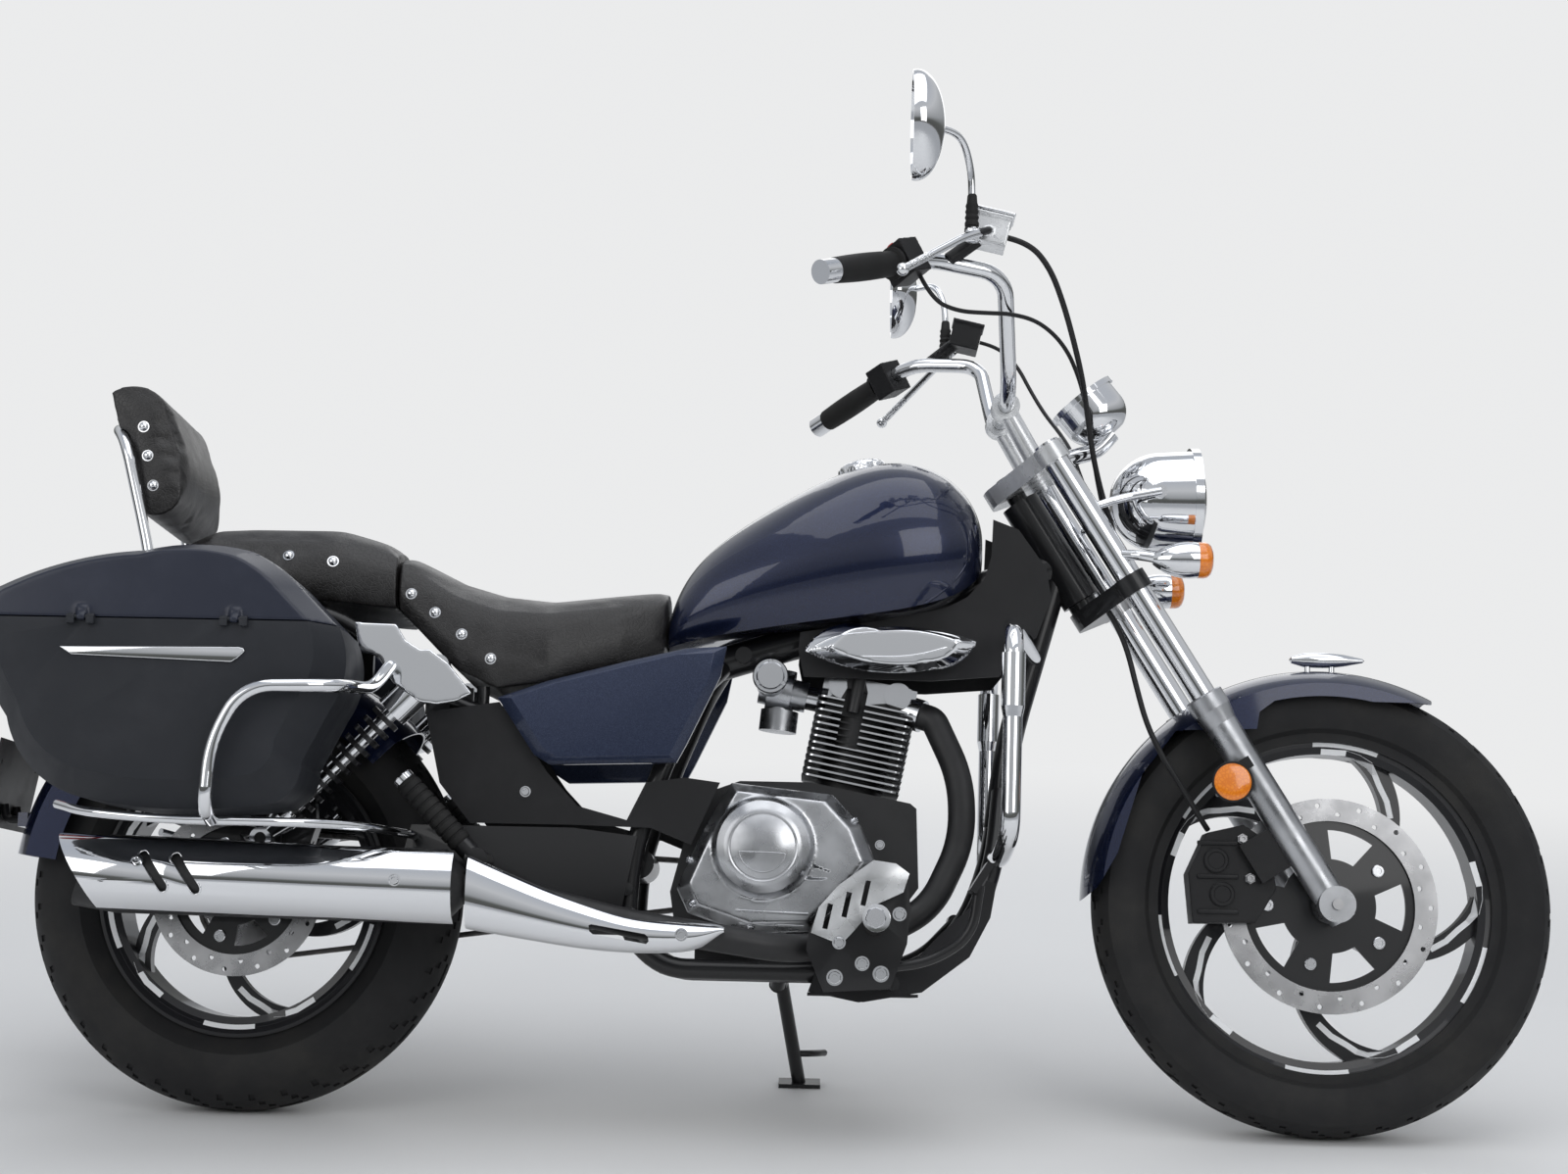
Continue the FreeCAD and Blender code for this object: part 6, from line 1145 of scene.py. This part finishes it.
FRONT_SPROCKET = Vector((655, 0, 337))
REAR_PITCH, FRONT_PITCH, LINK = 92, 31, 15.875
gap = FRONT_SPROCKET - REAR_AXLE
tilt = math.atan2(gap.z, gap.x)
lean = math.acos((REAR_PITCH - FRONT_PITCH) / gap.length)
plate = slab([(7 + 3.6 * math.cos(a), 3.6 * math.sin(a)) for a in (-1.2, -0.6, 0, 0.6, 1.2)]
             + [(-7 + 3.6 * math.cos(a), 3.6 * math.sin(a)) for a in (1.9, 2.5, 3.14, 3.8, 4.4)], 1.4, 0.3)
straight = gap.length * math.sin(lean)
rear_arc, front_arc = REAR_PITCH * (2 * math.pi - 2 * lean), FRONT_PITCH * 2 * lean
total = 2 * straight + rear_arc + front_arc
links = round(total / LINK / 2) * 2


def turned(angle):
    return Vector((math.cos(angle), 0, math.sin(angle)))


def on_chain(along):
    """A place on the chain's middle line and its heading, so far along from the top run's rear end."""
    quarter = math.pi / 2
    top, low = tilt + lean, tilt - lean
    if along < straight:
        return REAR_AXLE + turned(top) * REAR_PITCH + turned(top - quarter) * along, top - quarter
    along -= straight
    if along < front_arc:
        angle = top - along / FRONT_PITCH
        return FRONT_SPROCKET + turned(angle) * FRONT_PITCH, angle - quarter
    along -= front_arc
    if along < straight:
        return FRONT_SPROCKET + turned(low) * FRONT_PITCH + turned(low - quarter) * along, low - quarter
    angle = low - (along - straight) / REAR_PITCH
    return REAR_AXLE + turned(angle) * REAR_PITCH, angle - quarter


plates = []
for link in range(links):
    spot, heading = on_chain(total * (link + 0.5) / links)
    for y, out in ((73, 0.9 * (link % 2)), (88.4, -0.9 * (link % 2))):
        copy = another(plate)
        copy.data.transform(Matrix.Translation(Vector((spot.x, y - out, spot.z)) * MM)
                            @ Matrix.Rotation(-heading, 4, "Y"))
        plates.append(copy)
discard(plate)
finish(joined(plates), "chain_plates", dark_steel, "chassis", "steel")


# Floor, light and camera

PALE = (0.83, 0.835, 0.84)
bpy.ops.object.select_all(action="DESELECT")
bpy.ops.mesh.primitive_plane_add(size=400, location=(0, 0, 0))
floor = bpy.context.object
floor.name = "floor"
ground = Finish("floor", (0.80, 0.80, 0.795), 0.75)
ground.set("Roughness", ground.noise(3, 2).ramp(0.3, 0.7, 0.7, 0.8))
far_off = ground.node("ShaderNodeVectorMath", {"operation": "LENGTH"}, {0: ground.place()}, 1).ramp(1.6, 4.5)
seen = ground.node("ShaderNodeLightPath", output=0)
plain = ground.tree.nodes.new("ShaderNodeEmission")
plain.inputs[0].default_value = (*PALE, 1)
blend = ground.tree.nodes.new("ShaderNodeMixShader")
ground.tree.links.new((seen * far_off).socket, blend.inputs[0])
ground.tree.links.new(ground.shader.outputs[0], blend.inputs[1])
ground.tree.links.new(plain.outputs[0], blend.inputs[2])
output = next(node for node in ground.tree.nodes if node.type == "OUTPUT_MATERIAL")
ground.tree.links.new(blend.outputs[0], output.inputs[0])
floor.data.materials.append(ground.material)

# A sky that gives chrome something to reflect: bright above, darker along the skyline.
# The camera sees only its pale tone.

world = bpy.data.worlds.new("studio")
bpy.context.scene.world = world
world.use_nodes = True
tree = world.node_tree
tree.nodes.clear()
spot = tree.nodes.new("ShaderNodeTexCoord")
height = tree.nodes.new("ShaderNodeSeparateXYZ")
sky = tree.nodes.new("ShaderNodeValToRGB")
SKY = [(0.0, (0.30, 0.30, 0.30)), (0.49, (0.34, 0.335, 0.33)), (0.515, (0.16, 0.165, 0.16)),
       (0.56, (0.20, 0.21, 0.20)), (0.60, (0.62, 0.64, 0.66)), (0.74, (1.05, 1.07, 1.10)),
       (1.0, (0.78, 0.84, 0.95))]
SKY_GLOW = 0.55
while len(sky.color_ramp.elements) < len(SKY):
    sky.color_ramp.elements.new(0.5)
for stop, (place, color) in zip(sky.color_ramp.elements, SKY):
    stop.position = place
    stop.color = (*color, 1)
half = tree.nodes.new("ShaderNodeMath")
half.operation = "MULTIPLY_ADD"
half.inputs[1].default_value = 0.5
half.inputs[2].default_value = 0.5
path = tree.nodes.new("ShaderNodeLightPath")
choice = tree.nodes.new("ShaderNodeMix")
choice.data_type = "RGBA"
choice.inputs[7].default_value = (*PALE, 1)
background = tree.nodes.new("ShaderNodeBackground")
lit = tree.nodes.new("ShaderNodeMix")
lit.data_type = "FLOAT"
lit.inputs[2].default_value = SKY_GLOW
lit.inputs[3].default_value = 1.0
out = tree.nodes.new("ShaderNodeOutputWorld")
for first, last in (
    (spot.outputs["Generated"], height.inputs[0]), (height.outputs[2], half.inputs[0]),
    (half.outputs[0], sky.inputs[0]), (sky.outputs[0], choice.inputs[6]),
    (path.outputs[0], choice.inputs[0]), (choice.outputs[2], background.inputs[0]),
    (path.outputs[0], lit.inputs[0]), (lit.outputs[0], background.inputs[1]),
    (background.outputs[0], out.inputs[0]),
):
    tree.links.new(first, last)

LAMPS = [
    # name, place, size, watts
    ("overhead", (0.2, -0.6, 4.2), 4.0, 60),
    ("right_front", (2.4, -3.6, 2.6), 2.4, 34),
    ("right_rear", (-3.0, -3.0, 2.2), 2.4, 26),
    ("left", (0.4, 3.8, 2.6), 3.0, 26),
]
for name, at, size, watts in LAMPS:
    data = bpy.data.lights.new(name, "AREA")
    data.size = size
    data.energy = watts
    lamp = bpy.data.objects.new(name, data)
    lamp.location = at
    lamp.rotation_euler = (Vector((0, 0, 0.5)) - Vector(at)).to_track_quat("-Z", "Y").to_euler()
    bpy.context.scene.collection.objects.link(lamp)

CAMERA_AT = (0.05777, -3.52133, 0.8786)
PHOTO_WIDE, FOCAL, SENSOR = 1600, 2460.1, 36
YAW, PITCH, ROLL = math.radians(-2.34), math.radians(3.72), math.radians(0.87)
data = bpy.data.cameras.new("photo")
data.sensor_width = SENSOR
data.lens = FOCAL / PHOTO_WIDE * SENSOR
data.shift_x = 75.2 / PHOTO_WIDE
data.shift_y = 66.4 / PHOTO_WIDE
data.clip_end = 100
camera = bpy.data.objects.new("photo", data)
ahead = Vector((math.sin(YAW) * math.cos(PITCH), math.cos(YAW) * math.cos(PITCH), -math.sin(PITCH)))
turn = ahead.to_track_quat("-Z", "Y").to_matrix().to_4x4() @ Matrix.Rotation(ROLL, 4, "Z")
camera.matrix_world = Matrix.Translation(CAMERA_AT) @ turn
bpy.context.scene.collection.objects.link(camera)
bpy.context.scene.camera = camera
bpy.context.scene.view_settings.view_transform = "Standard"

low, high = cad_box
